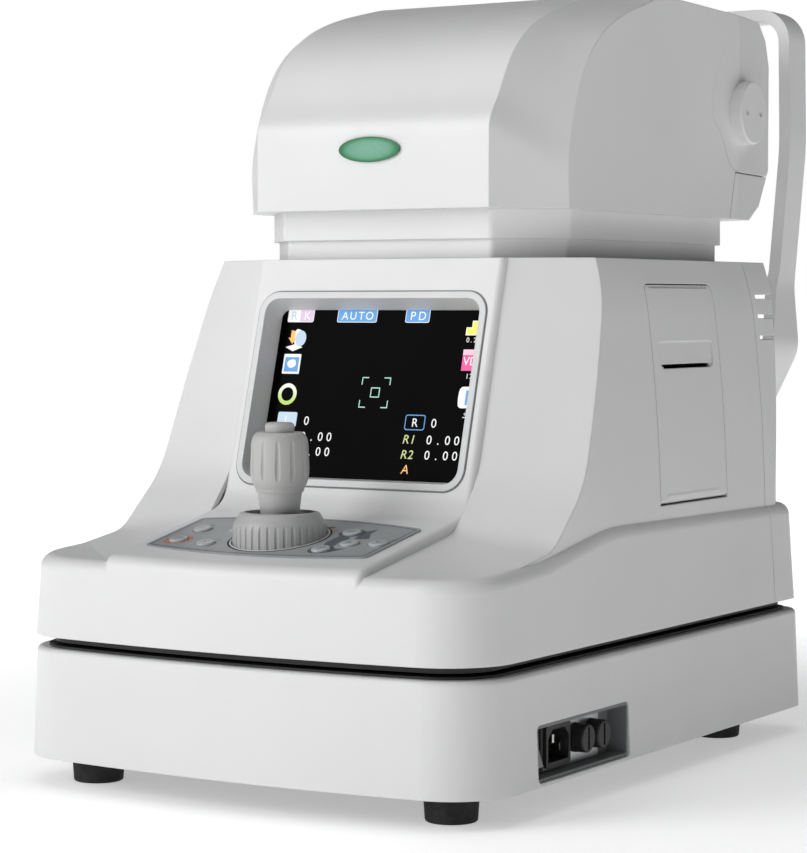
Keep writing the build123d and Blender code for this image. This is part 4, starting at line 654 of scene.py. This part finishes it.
trim_form = bmesh.new()
rings = []
for radius, lift in ((24.9, -2.2), (24.95, 0.1), (24.75, 0.35), (24.2, 0.42), (23.98, 0.2), (23.95, -2.2)):
    rings.append([trim_form.verts.new(panel_top.at(u, v, lift)) for u, v in round_shape(0, 0, radius, 96)])
for first, second in zip(rings, rings[1:] + rings[:1]):
    for k in range(96):
        trim_form.faces.new((first[k], first[(k + 1) % 96], second[(k + 1) % 96], second[k]))
bmesh.ops.recalc_face_normals(trim_form, faces=trim_form.faces[:])
trim_mesh = bpy.data.meshes.new("ring_trim")
trim_form.to_mesh(trim_mesh)
trim_form.free()
trim_mesh.shade_smooth()
trim = bpy.data.objects.new("ring_trim", trim_mesh)
scene.collection.objects.link(trim)
trim_mesh.materials.append(plastic("ring_trim", (0.62, 0.62, 0.60), rough=0.35, grain=0.05))
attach(trim, "body")

legend = plastic("key_legend", (0.20, 0.23, 0.25), rough=0.4, grain=0.04)
for key, (u, v) in key_places.items():
    mark = Marks(key.replace("_key", "_legend"), key_top)
    if key == "mode_key":
        mark.stroke([(u - 2, v + 0.8), (u + 2, v + 0.8)], 0.5)
        mark.stroke([(u - 2, v - 0.8), (u + 1, v - 0.8)], 0.5)
    elif key == "print_key":
        outer = box_shape(u - 2.2, v - 1.2, u + 2.2, v + 1.0, 0.3)
        mark.band(outer, box_shape(u - 1.7, v - 0.7, u + 1.7, v + 0.5, 0.2))
        mark.stroke([(u - 1.2, v + 1.8), (u + 1.2, v + 1.8)], 0.4)
    elif key == "clear_key":
        mark.stroke([(u - 1.4, v - 1.4), (u + 1.4, v + 1.4)], 0.5)
        mark.stroke([(u - 1.4, v + 1.4), (u + 1.4, v - 1.4)], 0.5)
    elif key == "menu_key":
        for rise in (-1.3, 0.0, 1.3):
            mark.stroke([(u - 1.9, v + rise), (u + 1.9, v + rise)], 0.45)
    elif key == "chin_up_key":
        mark.fill([(u - 1.9, v - 1.0), (u + 1.9, v - 1.0), (u, v + 1.7)])
    elif key == "chin_down_key":
        mark.fill([(u - 1.9, v + 1.0), (u, v - 1.7), (u + 1.9, v + 1.0)])
    else:
        mark.band(round_shape(u, v, 2.1, 28), round_shape(u, v, 1.6, 28)).fill(round_shape(u, v, 0.6, 16))
    mark.done(key, legend)

# ------------------------------------------------------------------ forehead pad
pad_low, pad_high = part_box("forehead_pad")
pad_form = bmesh.new()
columns, rows = 28, 12
half = (pad_high.x - pad_low.x) / 2 - 0.0006
height = (pad_high.z - pad_low.z) / 2 - 0.0004
middle_z = (pad_high.z + pad_low.z) / 2
back_y, face_y = pad_low.y + 0.0002, pad_high.y - 0.0004


def pad_point(s, t, crowned):
    """s and t from -1 to 1 across and up the pad; its face swells between pulled-in corners."""
    pull = 1 - 0.05 * (s * s) * (t * t)
    round_s = s * pull
    round_t = t * (1 - 0.10 * abs(s) ** 6)
    swell = ((1 - abs(s) ** 5) * (1 - abs(t) ** 4)) ** 0.45
    hollow = 0.0012 * (1 - (s / 0.75) ** 2) if abs(s) < 0.75 else 0.0
    y = back_y + 0.0035 + (face_y - back_y - 0.0035) * swell - hollow * swell if crowned else back_y
    return Vector((round_s * half, y, middle_z + round_t * height))


sheets = []
for crowned in (True, False):
    sheets.append([
        [
            pad_form.verts.new(pad_point(-1 + 2 * i / columns, -1 + 2 * j / rows, crowned))
            for i in range(columns + 1)
        ]
        for j in range(rows + 1)
    ])
for sheet in sheets:
    for j in range(rows):
        for i in range(columns):
            pad_form.faces.new((sheet[j][i], sheet[j][i + 1], sheet[j + 1][i + 1], sheet[j + 1][i]))
ridge = [(j, i) for i in range(columns + 1) for j in (0,)] + [(j, columns) for j in range(1, rows + 1)]
ridge += [(rows, i) for i in range(columns - 1, -1, -1)] + [(j, 0) for j in range(rows - 1, 0, -1)]
for (j0, i0), (j1, i1) in zip(ridge, ridge[1:] + ridge[:1]):
    pad_form.faces.new((sheets[0][j0][i0], sheets[0][j1][i1], sheets[1][j1][i1], sheets[1][j0][i0]))
bmesh.ops.recalc_face_normals(pad_form, faces=pad_form.faces[:])
pad_mesh = bpy.data.meshes.new("forehead_cushion")
pad_form.to_mesh(pad_mesh)
pad_form.free()
pad_mesh.shade_smooth()
pad = bpy.data.objects.new("forehead_cushion", pad_mesh)
scene.collection.objects.link(pad)
smoothing = pad.modifiers.new("smooth", "SUBSURF")
smoothing.levels = smoothing.render_levels = 2
pad_mesh.materials.append(finish["pad_silicone"])
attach(pad, "base")
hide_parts("forehead_pad")
